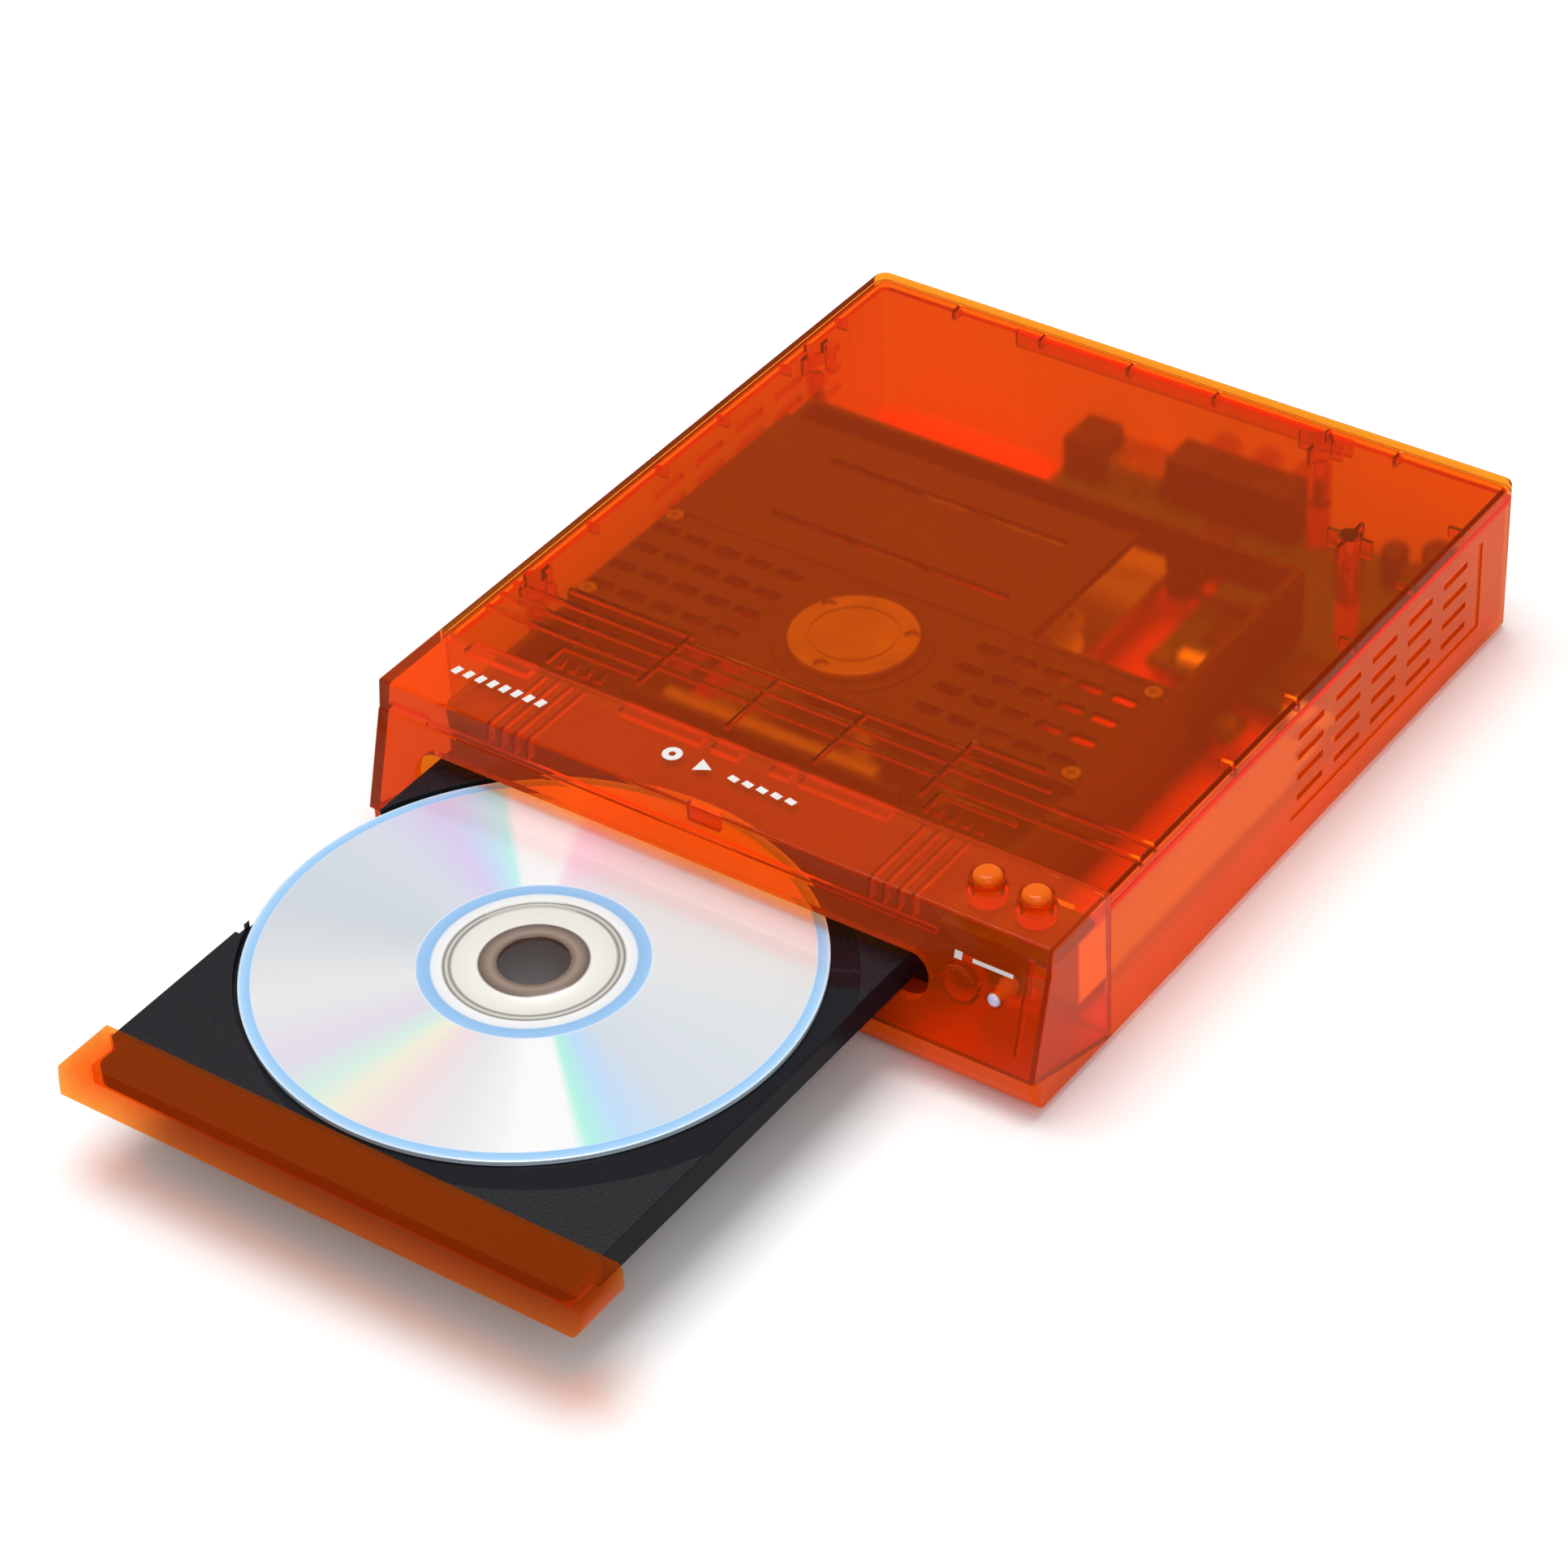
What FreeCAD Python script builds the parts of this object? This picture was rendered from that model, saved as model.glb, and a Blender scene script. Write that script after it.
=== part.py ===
import FreeCAD, Part
import math
import os

from FreeCAD import Vector

# Compact disc player with a motor-driven tray, shown with the tray fully out and a disc on it.
# While modelling, x runs right from the case's left side, y runs back from the case's front
# top edge, and z runs up from the table. Every node is moved once, on export, so that the
# origin is the centre of the rest footprint. All sizes are in millimetres.

# Case
CASE_W = 170.0
CASE_D = 192.0
CASE_TOP = 40.0
FOOT_H = 1.5
WALL = 2.0
CORNER_R = 3.0
SEAM_Y = 21.5            # joint between the front bezel and the top cover
SEAM_GAP = 0.15
RIM_Z = 35.3             # joint between the bottom shell and the top cover
STRIP_Z = 33.2           # lower edge of the upright strip along the front's top edge
STRIP_Y = -0.8
CHIN_Z = 10.4            # lower edge of the sloping front panel
CHIN_Y = -7.6
FLOOR_TOP = FOOT_H + WALL
PLATE_UNDER = CASE_TOP - WALL

# Disc, tray and door, in the open position
DISC_R = 60.0
DISC_T = 1.2
DISC_HOLE_R = 7.5
DISC_X = 72.5
DISC_Y = -42.0
SPINDLE_Y = 73.5
TRAY_TRAVEL = SPINDLE_Y - DISC_Y
TRAY_X0 = 15.4
TRAY_X1 = 136.2
TRAY_FRONT_Y = -106.0
TRAY_REAR_Y = 32.0
TRAY_TOP = 24.6
TRAY_SLAB_Z = 21.2
TRAY_LOW = 18.0
RECESS_Z = 22.8
RECESS_R = DISC_R + 1.0
TRAY_CRESCENTS = ((7.0, 24.0), (4.4, 23.5), (2.2, 23.1))    # offset of each circle, height of its floor
TRAY_NOTCHES = (-58.5, -66.5)
DISC_Z = RECESS_Z + 0.1
DOOR_X0 = 12.2
DOOR_X1 = 142.4
DOOR_REAR_Y = -105.3
DOOR_TOP = 26.2
DOOR_LOW = 18.4

# Slot in the front panel
SLOT_X0 = 11.6
SLOT_X1 = 143.0
SLOT_Z0 = 17.6
SLOT_Z1 = 27.6

# Loader
LOADER_X0 = 8.4
LOADER_X1 = 140.6
LOADER_FRONT = 12.0
LOADER_BACK = 150.0
DECK_Z0 = 12.0
DECK_Z1 = 13.6
LOADER_TOP = 29.2
BRIDGE_T = 1.6
PUCK_BOTTOM = 25.0
PUCK_HOLE_R = 12.6

# Tray drive: motor pulley, belt, pulley gear and drive gear, which turns the tray's rack
GEAR_Y = 26.0
DRIVE_X = 118.0
RACK_MODULE = 1.0
DRIVE_TEETH = 16
TRAIN_MODULE = 0.8
WHEEL_TEETH = 32
PINION_TEETH = 12
PULLEY_X = DRIVE_X - TRAIN_MODULE * (WHEEL_TEETH + PINION_TEETH) / 2.0
MOTOR_X = 76.0
BELT_T = 1.2
BELT_Z = 17.5
PULLEY_GROOVE_R = 6.6
MOTOR_GROOVE_R = 2.0
PIN_R = 1.2
RUNNING = 0.05           # radial clearance of a turning fit

# Traverse: the frame that carries the spindle motor and the optical pickup. It is modelled
# level, as it plays, and tilted down about its rear pins into its rest position.
PIVOT_Y = 156.0
PIVOT_Z = 14.0
LIFT = 4.8
TILT = math.degrees(math.asin(LIFT / (PIVOT_Y - SPINDLE_Y)))
FRAME_X0 = 41.0
FRAME_X1 = 104.6
FRAME_FRONT = 58.0
FRAME_BACK = 158.0
FRAME_Z0 = 13.0
FRAME_Z1 = 15.0
TABLE_R = 11.0
TABLE_TOP = 22.6
NOSE_R = 7.2
SLED_Y0 = 88.0
SLED_LEN = 20.0
SLED_RACK_X = 93.0
SLED_MODULE = 0.6
SLED_GEAR_TEETH = 14
SLED_GEAR_Y = 112.0
SLED_WHEEL_MODULE = 0.5
SLED_WHEEL_TEETH = 32
SLED_PINION_TEETH = 10
SLED_TRAVEL = 34.0
SLED_GEAR_X = SLED_RACK_X + SLED_MODULE * SLED_GEAR_TEETH / 2.0
SLED_PINION_Y = SLED_GEAR_Y + SLED_WHEEL_MODULE * (SLED_WHEEL_TEETH + SLED_PINION_TEETH) / 2.0
ROD_XS = (57.4, 85.4)
ROD_Z = 15.4

# Lift cam: a plate that slides sideways and raises the traverse's front pin in a sloping slot
CAM_Y0 = 51.0
CAM_Y1 = 54.6
CAM_TRAVEL = 14.0
CAM_PIN_X = 58.0
CAM_PIN_Z = 13.6
CAM_PIN_R = 1.2

# Buttons on the bezel's top
BUTTON_XS = (147.0, 158.6)
BUTTON_Y = 12.0
BUTTON_R = 3.15
BUTTON_HOLE_R = 3.45
KEY_BOARD_Z = 31.5

# Signals on the front panel's right end
WINDOW_X = 149.4
LED_X = 158.0
SIGNAL_Z = 24.2

# Rear sockets
BOARD_Z = 8.0
BOARD_T = 1.6
JACK_XS = (92.0, 103.0, 114.0)
JACK_Z = 16.0
JACK_BARREL_R = 4.15
JACK_REACH = 8.0
VIDEO_X = 77.5
INLET_X = 64.5

# Cover bosses: x, y of the four case screws
BOSSES = ((4.9, 49.0), (5.4, 156.5), (124.0, 185.6), (148.3, 155.8))
BOSS_R = 2.7
BOSS_LOW = 20.0

# Loader tabs: x, y of the four screws that hold the loader down
TABS = ((5.2, 26.0), (5.2, 128.0), (144.2, 30.0), (144.2, 110.0))

# Screws of the clamp bridge and of the main board
BRIDGE_SCREWS = ((11.6, 58.6), (137.4, 58.6), (11.6, 91.4), (137.4, 91.4))
BOARD_SCREWS = ((60.8, 168.0), (160.0, 128.8), (117.2, 129.0), (132.0, 183.0))

OUT = "parts"
SHIFT = Vector(-CASE_W / 2.0, 0, 0)


def box(x0, x1, y0, y1, z0, z1):
    return Part.makeBox(x1 - x0, y1 - y0, z1 - z0, Vector(x0, y0, z0))


def cyl(x, y, z0, z1, r):
    return Part.makeCylinder(r, z1 - z0, Vector(x, y, z0))


def cone(x, y, z0, z1, r0, r1):
    return Part.makeCone(r0, r1, z1 - z0, Vector(x, y, z0))


def rod_x(x0, x1, y, z, r):
    return Part.makeCylinder(r, x1 - x0, Vector(x0, y, z), Vector(1, 0, 0))


def rod_y(x, y0, y1, z, r):
    return Part.makeCylinder(r, y1 - y0, Vector(x, y0, z), Vector(0, 1, 0))


def face_of(points):
    return Part.Face(Part.makePolygon(points + [points[0]]))


def prism_x(profile, x0, x1):
    """Solid with a (y, z) outline, from x0 to x1."""
    return face_of([Vector(x0, y, z) for y, z in profile]).extrude(Vector(x1 - x0, 0, 0))


def prism_y(profile, y0, y1):
    """Solid with an (x, z) outline, from y0 to y1."""
    return face_of([Vector(x, y0, z) for x, z in profile]).extrude(Vector(0, y1 - y0, 0))


def prism_z(profile, z0, z1):
    """Solid with an (x, y) outline, from z0 to z1."""
    return face_of([Vector(x, y, z0) for x, y in profile]).extrude(Vector(0, 0, z1 - z0))


def upright_edges(shape):
    """The straight edges that run along z."""
    found = []
    for edge in shape.Edges:
        a = edge.Vertexes[0].Point
        b = edge.Vertexes[-1].Point
        if abs(a.x - b.x) < 1e-6 and abs(a.y - b.y) < 1e-6:
            found.append(edge)
    return found


def level_edges(shape, z):
    """The edges that lie at height z."""
    return [edge for edge in shape.Edges if all(abs(v.Z - z) < 1e-6 for v in edge.Vertexes)]


def round_box(x0, x1, y0, y1, z0, z1, r, top=0.0, bottom=0.0):
    """Box with round upright edges and, if given, rounded top and bottom edges."""
    shape = box(x0, x1, y0, y1, z0, z1)
    shape = shape.makeFillet(r, upright_edges(shape))
    if top:
        shape = shape.makeFillet(top, level_edges(shape, z1))
    if bottom:
        shape = shape.makeFillet(bottom, level_edges(shape, z0))
    return shape


def join(shapes):
    first = shapes[0]
    return first.multiFuse(shapes[1:]).removeSplitter() if len(shapes) > 1 else first


def cut(shape, tools):
    return shape.cut(Part.makeCompound(tools)) if tools else shape


def group(shapes):
    return Part.makeCompound(shapes)


def panel_y(z):
    """Front face of the sloping panel at height z."""
    return CHIN_Y + (z - CHIN_Z) * (STRIP_Y - 0.4 - CHIN_Y) / (STRIP_Z - 0.4 - CHIN_Z)


def stadium(x0, x1, z0, z1, y0, y1):
    """Slot cutter with round ends, through y0 to y1."""
    r = (z1 - z0) / 2.0
    zc = (z0 + z1) / 2.0
    return join([box(x0 + r, x1 - r, y0, y1, z0, z1),
                 rod_y(x0 + r, y0, y1, zc, r), rod_y(x1 - r, y0, y1, zc, r)])


def screw(x, y, head_z, length, r=1.2, head_r=2.3, head_h=1.4, up=False):
    """Cross-head screw. The shank runs from head_z, down, or up for a screw put in from below."""
    if up:
        shank = cyl(x, y, head_z, head_z + length, r)
        head = cyl(x, y, head_z - head_h, head_z, head_r)
        slot_z0, slot_z1 = head_z - head_h, head_z - head_h + 0.7
    else:
        shank = cyl(x, y, head_z - length, head_z, r)
        head = cyl(x, y, head_z, head_z + head_h, head_r)
        slot_z0, slot_z1 = head_z + head_h - 0.7, head_z + head_h
    arm = head_r * 0.6
    cross = [box(x - arm, x + arm, y - 0.25, y + 0.25, slot_z0, slot_z1),
             box(x - 0.25, x + 0.25, y - arm, y + arm, slot_z0, slot_z1)]
    return cut(join([shank, head]), cross)


def gear_disc(x, y, z0, z1, teeth, module, offset=0.0):
    """Spur gear with straight-flanked teeth. offset turns it by a part of one tooth pitch."""
    pitch_r = module * teeth / 2.0
    root_r = pitch_r - 1.2 * module
    tip_r = pitch_r + 0.8 * module
    half = math.pi * module / 4.0 * 0.86
    slope = math.tan(math.radians(20))
    outline = []
    for n in range(teeth):
        centre = 2 * math.pi * (n + offset) / teeth
        for radius, side in ((root_r, -1), (tip_r, -1), (tip_r, 1), (root_r, 1)):
            width = half - (radius - pitch_r) * slope
            angle = centre + side * width / radius
            outline.append((x + radius * math.cos(angle), y + radius * math.sin(angle)))
    return prism_z(outline, z0, z1)


def rack_bar(pitch_x, y0, y1, mesh_y, z0, z1, module, facing, depth):
    """Toothed bar along y. A gap is centred on mesh_y; facing is the side the teeth look to."""
    half = math.pi * module / 4.0 * 0.86
    slope = math.tan(math.radians(20))
    root_x = pitch_x - facing * 1.2 * module
    tip_x = pitch_x + facing * 0.8 * module
    pitch = math.pi * module
    bar = box(min(root_x, root_x - facing * depth), max(root_x, root_x - facing * depth), y0, y1, z0, z1)
    shapes = [bar]
    n = math.ceil((y0 + half * 2 - mesh_y) / pitch - 0.5)
    while mesh_y + (n + 0.5) * pitch < y1 - half * 2:
        yc = mesh_y + (n + 0.5) * pitch
        root_w = half + 1.2 * module * slope
        tip_w = half - 0.8 * module * slope
        shapes.append(prism_z([(root_x - facing * 0.05, yc - root_w),
                               (tip_x, yc - tip_w), (tip_x, yc + tip_w),
                               (root_x - facing * 0.05, yc + root_w)], z0, z1))
        n += 1
    return join(shapes)


def tilt(shape):
    """Turn a level traverse part down about the rear pins, into its rest position."""
    turned = shape.copy()
    turned.rotate(Vector(0, PIVOT_Y, PIVOT_Z), Vector(1, 0, 0), TILT)
    return turned


# --- case ---------------------------------------------------------------------------------

def side_vents(side_x):
    """Five groups of four level slots in one side wall, in a slightly sunken panel."""
    outer = side_x if side_x > 1 else 0.0
    sign = -1 if side_x > 1 else 1
    deep = outer + sign * 0.4
    tools = [box(min(outer, deep), max(outer, deep), 94.0, 177.0, 9.0, 32.0)]
    for column in range(5):
        y0 = 97.0 + 15.8 * column
        for row in range(4):
            z = 12.4 + 5.4 * row
            inner = outer + sign * (WALL + 1.0)
            tools.append(box(min(outer, inner), max(outer, inner), y0, y0 + 10.8, z, z + 1.7))
    return tools


def make_bottom_shell():
    profile = [(CASE_D, FOOT_H), (CASE_D, RIM_Z), (SEAM_Y + SEAM_GAP, RIM_Z),
               (SEAM_Y + SEAM_GAP, FOOT_H + 0.4),
               (CHIN_Y + 0.15, CHIN_Z - 0.2), (CHIN_Y + 0.5, CHIN_Z - 3.6), (CHIN_Y + 1.6, CHIN_Z - 6.6),
               (CHIN_Y + 4.0, FOOT_H)]
    hull = round_box(0, CASE_W, CHIN_Y, CASE_D, FOOT_H, 60.0, CORNER_R, bottom=0.9)
    outer = prism_x(profile, 0, CASE_W).common(hull)
    hollow = [round_box(WALL, CASE_W - WALL, CHIN_Y + WALL + 0.6, CASE_D - WALL, FLOOR_TOP, 60.0, 1.2)]
    shell = cut(outer, hollow + side_vents(CASE_W) + side_vents(0.0))
    # posts under the cover's bosses, under the loader's tabs and under the boards
    posts = [cyl(x, y, FLOOR_TOP - 0.5, BOSS_LOW, BOSS_R) for x, y in BOSSES]
    posts += [cyl(x, y, FLOOR_TOP - 0.5, DECK_Z0, 3.0) for x, y in TABS]
    posts += [cyl(x, y, FLOOR_TOP - 0.5, BOARD_Z, 2.6) for x, y in BOARD_SCREWS]
    rib_low = FLOOR_TOP - 0.2
    floor_ribs = [box(20.0, 150.0, 44.0, 45.2, rib_low, 3.9), box(20.0, 150.0, 163.0, 164.2, rib_low, 3.9),
                  box(27.0, 28.2, 8.0, 184.0, rib_low, 3.9), box(114.0, 115.2, 8.0, 122.0, rib_low, 3.9)]
    shell = join([shell] + posts + floor_ribs)
    inside = box(0.5, CASE_W - 0.5, CHIN_Y, CASE_D - 0.5, FOOT_H, 60.0)
    tools = [cyl(x, y, FOOT_H - 1, 2.9, 2.6) for x, y in BOSSES]
    tools += [cyl(x, y, 0, BOSS_LOW + 1, 1.35) for x, y in BOSSES]
    tools += [cyl(x, y, FLOOR_TOP + 1, DECK_Z0 + 1, 1.25) for x, y in TABS]
    tools += [cyl(x, y, FLOOR_TOP + 0.5, BOARD_Z + 1, 1.05) for x, y in BOARD_SCREWS]
    # windows for the rear sockets
    back0 = CASE_D - WALL - 1
    back1 = CASE_D + 1
    tools += [rod_y(x, back0, back1, JACK_Z, JACK_BARREL_R + 0.35) for x in JACK_XS]
    tools.append(box(VIDEO_X - 7.9, VIDEO_X + 7.9, back0, back1, 9.2, 16.5))
    tools.append(rod_y(INLET_X, back0, back1, 15.2, 4.2))
    return cut(shell, tools)


def make_top_cover():
    outer = round_box(0, CASE_W, -20.0, CASE_D, RIM_Z, CASE_TOP, CORNER_R, top=0.9)
    outer = outer.common(box(-1, CASE_W + 1, SEAM_Y + SEAM_GAP, CASE_D + 1, RIM_Z - 1, CASE_TOP + 1))
    cover = cut(outer, [round_box(WALL, CASE_W - WALL, -30.0, CASE_D - WALL, RIM_Z - 1, PLATE_UNDER, 1.2)])
    # shadow line round the rim
    groove = cut(box(-1, CASE_W + 1, 0, CASE_D + 1, 36.5, 36.8),
                 [round_box(0.3, CASE_W - 0.3, -30.0, CASE_D - 0.3, 36.0, 37.0, CORNER_R - 0.3)])
    cover = cut(cover, [groove])
    under = PLATE_UNDER + 0.2
    low = PLATE_UNDER - 1.1
    added = []
    for x, y in BOSSES:
        added.append(cyl(x, y, BOSS_LOW + 0.1, under, BOSS_R))
        added.append(box(max(x - 5.6, WALL + 0.3), x + 5.6, y - 0.5, y + 0.5, 33.5, under))
        added.append(box(x - 0.5, x + 0.5, y - 5.6, min(y + 5.6, CASE_D - WALL - 0.3), 33.5, under))
    # locating lip inside the bottom shell's rear rim, and short ribs along three sides
    added.append(box(40.0, 130.0, CASE_D - WALL - 1.1, CASE_D - WALL - 0.1, 32.6, RIM_Z + 0.3))
    added.append(box(40.0, 130.0, CASE_D - WALL - 1.1, CASE_D - WALL + 0.4, RIM_Z, RIM_Z + 1.6))
    for x in (24.0, 48.0, 72.0, 95.0, 142.0):
        added.append(box(x - 0.5, x + 0.5, CASE_D - WALL - 3.2, CASE_D - WALL + 0.3, 35.6, under))
    for y in (72.0, 98.0, 122.0, 147.0, 170.0):
        added.append(box(WALL - 0.3, WALL + 3.0, y - 0.5, y + 0.5, 35.6, under))
        added.append(box(CASE_W - WALL - 3.0, CASE_W - WALL + 0.3, y - 0.5, y + 0.5, 35.6, under))
    # stiffening ribs behind the seam: long ones along x, tied by four short ones along y
    for y, x0, x1 in ((49.6, 14.0, 47.0), (45.2, 2.0, 47.0), (40.5, 2.0, 47.0), (35.3, 2.0, 47.0),
                      (47.0, 47.0, 118.8), (42.0, 47.0, 118.8), (37.0, 47.0, 118.8),
                      (49.9, 118.8, 137.0), (45.0, 118.8, 141.0), (40.6, 118.8, 168.0), (35.3, 118.8, 168.0),
                      (32.0, 25.0, 45.0), (32.0, 122.0, 141.0)):
        added.append(box(x0, x1, y - 0.55, y + 0.55, low, under))
    for x, y0, y1 in ((46.8, 30.0, 50.2), (71.8, 27.0, 47.0), (94.2, 27.0, 47.0), (118.8, 30.0, 50.4),
                      (25.4, 26.0, 32.0), (122.4, 26.0, 32.0)):
        added.append(box(x - 0.5, x + 0.5, y0, y1, low, under))
    for x0 in (28.5, 125.5):
        for n in range(4):
            xc = x0 + 3.5 * n
            added.append(prism_z([(xc - 1.2, 25.6), (xc + 1.2, 25.6), (xc, 29.6)], low, under))
    cover = join([cover] + added)
    return cut(cover, [cyl(x, y, BOSS_LOW, 32.0, 1.15) for x, y in BOSSES])


def make_front_bezel():
    low_back = FOOT_H + 0.55
    profile = [(SEAM_Y, CASE_TOP), (0, CASE_TOP), (STRIP_Y, STRIP_Z), (STRIP_Y - 0.4, STRIP_Z - 0.4),
               (CHIN_Y, CHIN_Z), (SEAM_Y, low_back)]
    outer = prism_x(profile, 0, CASE_W)
    ends = [edge for edge in outer.Edges
            if all(abs(v.X - edge.Vertexes[0].X) < 1e-6 for v in edge.Vertexes)
            and not all(abs(v.Y - SEAM_Y) < 1e-6 for v in edge.Vertexes)
            and not all(v.Z < CHIN_Z + 0.1 for v in edge.Vertexes)]
    front_top = [edge for edge in outer.Edges
                 if all(abs(v.Z - CASE_TOP) < 1e-6 and abs(v.Y) < 1e-6 for v in edge.Vertexes)]
    outer = outer.makeFillet(0.8, ends + front_top)
    inner = [(SEAM_Y + 1, PLATE_UNDER), (WALL - 0.3, PLATE_UNDER), (panel_y(STRIP_Z) + WALL, STRIP_Z),
             (panel_y(CHIN_Z) + WALL, CHIN_Z), (panel_y(0) + WALL, 0.0), (SEAM_Y + 1, 0.0)]
    bezel = cut(outer, [prism_x(inner, WALL, CASE_W - WALL)])
    # guides for the buttons, the receiver's window ring and the panel's inner frame
    added = []
    for x in BUTTON_XS:
        added.append(cyl(x, BUTTON_Y, CASE_TOP - 0.4, CASE_TOP + 1.0, BUTTON_R + 0.75))
        added.append(cyl(x, BUTTON_Y, PLATE_UNDER - 1.8, PLATE_UNDER + 0.3, BUTTON_HOLE_R + 1.0))
    ring_y = panel_y(SIGNAL_Z)
    ring = cut(rod_y(WINDOW_X, ring_y + 0.6, ring_y + 5.0, SIGNAL_Z, 4.7),
               [rod_y(WINDOW_X, ring_y + 0.5, ring_y + 6.0, SIGNAL_Z, 3.9)])
    added.append(ring)
    added.append(prism_x([(panel_y(13.0) + 1.0, 13.0), (panel_y(13.0) + 3.4, 13.0),
                          (panel_y(34.0) + 3.4, 34.0), (panel_y(34.0) + 1.0, 34.0)], 163.6, 164.4))
    for x0 in (28.5, 125.5):
        for n in range(4):
            xc = x0 + 3.5 * n
            added.append(box(xc - 0.45, xc + 0.45, 1.2, SEAM_Y, PLATE_UNDER - 1.0, PLATE_UNDER + 0.3))
            added.append(box(xc - 0.45, xc + 0.45, 0.8, 3.4, 33.4, PLATE_UNDER + 0.3))
    # tongues that tuck under the cover's front edge
    for x0, x1 in ((8.0, 25.0), (49.0, 70.5), (73.0, 80.0), (88.0, 93.0), (95.4, 117.6)):
        added.append(box(x0, x1, 19.4, SEAM_Y + 2.2, PLATE_UNDER - 1.5, PLATE_UNDER - 0.25))
        added.append(box(x0, x1, 19.4, SEAM_Y, PLATE_UNDER - 1.5, PLATE_UNDER + 0.3))
    added.append(box(80.0, 88.0, 2.0, 3.2, 34.0, PLATE_UNDER + 0.3))
    # rib along the ledge, behind the strip
    added.append(box(WALL - 0.3, 12.0, 0.4, 2.4, 32.2, 33.4))
    added.append(box(12.0, 142.0, 0.6, 1.6, 31.6, 33.0))
    bezel = join([bezel] + added)
    tools = [stadium(SLOT_X0, SLOT_X1, SLOT_Z0, SLOT_Z1, CHIN_Y - 2, 12.0)]
    tools += [cyl(x, BUTTON_Y, PLATE_UNDER - 3, CASE_TOP + 3, BUTTON_HOLE_R) for x in BUTTON_XS]
    tools.append(rod_y(LED_X, CHIN_Y - 2, 3.0, SIGNAL_Z, 1.9))
    return cut(bezel, tools)


def make_feet():
    spots = ((20.0, 14.0), (150.0, 14.0), (20.0, 178.0), (150.0, 178.0))
    feet = []
    for x, y in spots:
        pad = cyl(x, y, 0, FOOT_H, 6.0)
        feet.append(pad.makeFillet(0.6, level_edges(pad, 0.0)))
    return group(feet)


def make_button(x):
    dome = cyl(x, BUTTON_Y, PLATE_UNDER - 1.0, CASE_TOP + 2.4, BUTTON_R)
    dome = dome.makeFillet(1.5, level_edges(dome, CASE_TOP + 2.4))
    flange = cyl(x, BUTTON_Y, PLATE_UNDER - 3.0, PLATE_UNDER - 2.1, BUTTON_HOLE_R + 0.7)
    neck = cyl(x, BUTTON_Y, PLATE_UNDER - 2.2, PLATE_UNDER - 0.9, BUTTON_R - 0.5)
    return join([dome, neck, flange])


# --- tray, door and disc -------------------------------------------------------------------

def make_tray():
    x0, x1, y0, y1 = TRAY_X0, TRAY_X1, TRAY_FRONT_Y, TRAY_REAR_Y
    slab = prism_z([(x0, y0), (x1, y0), (x1, y1 - 6.0), (x1 - 6.0, y1), (x0 + 6.0, y1), (x0, y1 - 6.0)],
                   TRAY_SLAB_Z, TRAY_TOP)
    slab = cut(slab, [cyl(DISC_X, DISC_Y, RECESS_Z, TRAY_TOP + 1, RECESS_R)])
    # three stepped crescents on the right, where the recess runs out through the tray's side
    slab = cut(slab, [cyl(DISC_X + out, DISC_Y - 0.45 * out, floor_z, TRAY_TOP + 1, RECESS_R + 0.15 * out)
                      for out, floor_z in TRAY_CRESCENTS])
    slab = cut(slab, [box(x0 - 1, x0 + 1.4, y - 1.3, y + 1.3, 23.4, TRAY_TOP + 1) for y in TRAY_NOTCHES])
    # inner step for the smaller disc size, and the hollow below the disc's hub
    window = join([cyl(DISC_X, DISC_Y, TRAY_SLAB_Z - 1, TRAY_TOP, 14.0),
                   box(DISC_X - 14.0, DISC_X + 14.0, DISC_Y, DISC_Y + 62.0, TRAY_SLAB_Z - 1, TRAY_TOP)])
    small_step = cyl(DISC_X, DISC_Y, RECESS_Z - 0.6, TRAY_TOP, 41.0)
    slab = cut(slab, [small_step, window])
    added = [box(x0, x0 + 1.8, y0, y1 - 6.0, TRAY_LOW, TRAY_SLAB_Z + 0.2),
             box(x1 - 1.8, x1, y0, y1 - 6.0, TRAY_LOW, TRAY_SLAB_Z + 0.2),
             box(x0, x1, y0, y0 + 1.8, TRAY_LOW, TRAY_SLAB_Z + 0.2)]
    tongue = box(18.6, x1 - 0.2, y0 - 9.0, y0 + 0.2, 20.6, TRAY_TOP)
    tongue = tongue.makeFillet(3.0, [e for e in upright_edges(tongue) if e.Vertexes[0].Y < y0 - 8.0])
    added.append(tongue)
    pitch_x = DRIVE_X + RACK_MODULE * DRIVE_TEETH / 2.0
    added.append(rack_bar(pitch_x, GEAR_Y - TRAY_TRAVEL - 4.0, y1 - 1.0, GEAR_Y, TRAY_LOW + 0.3,
                          TRAY_SLAB_Z + 0.2, RACK_MODULE, -1, 2.0))
    return join([slab] + added)


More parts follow.
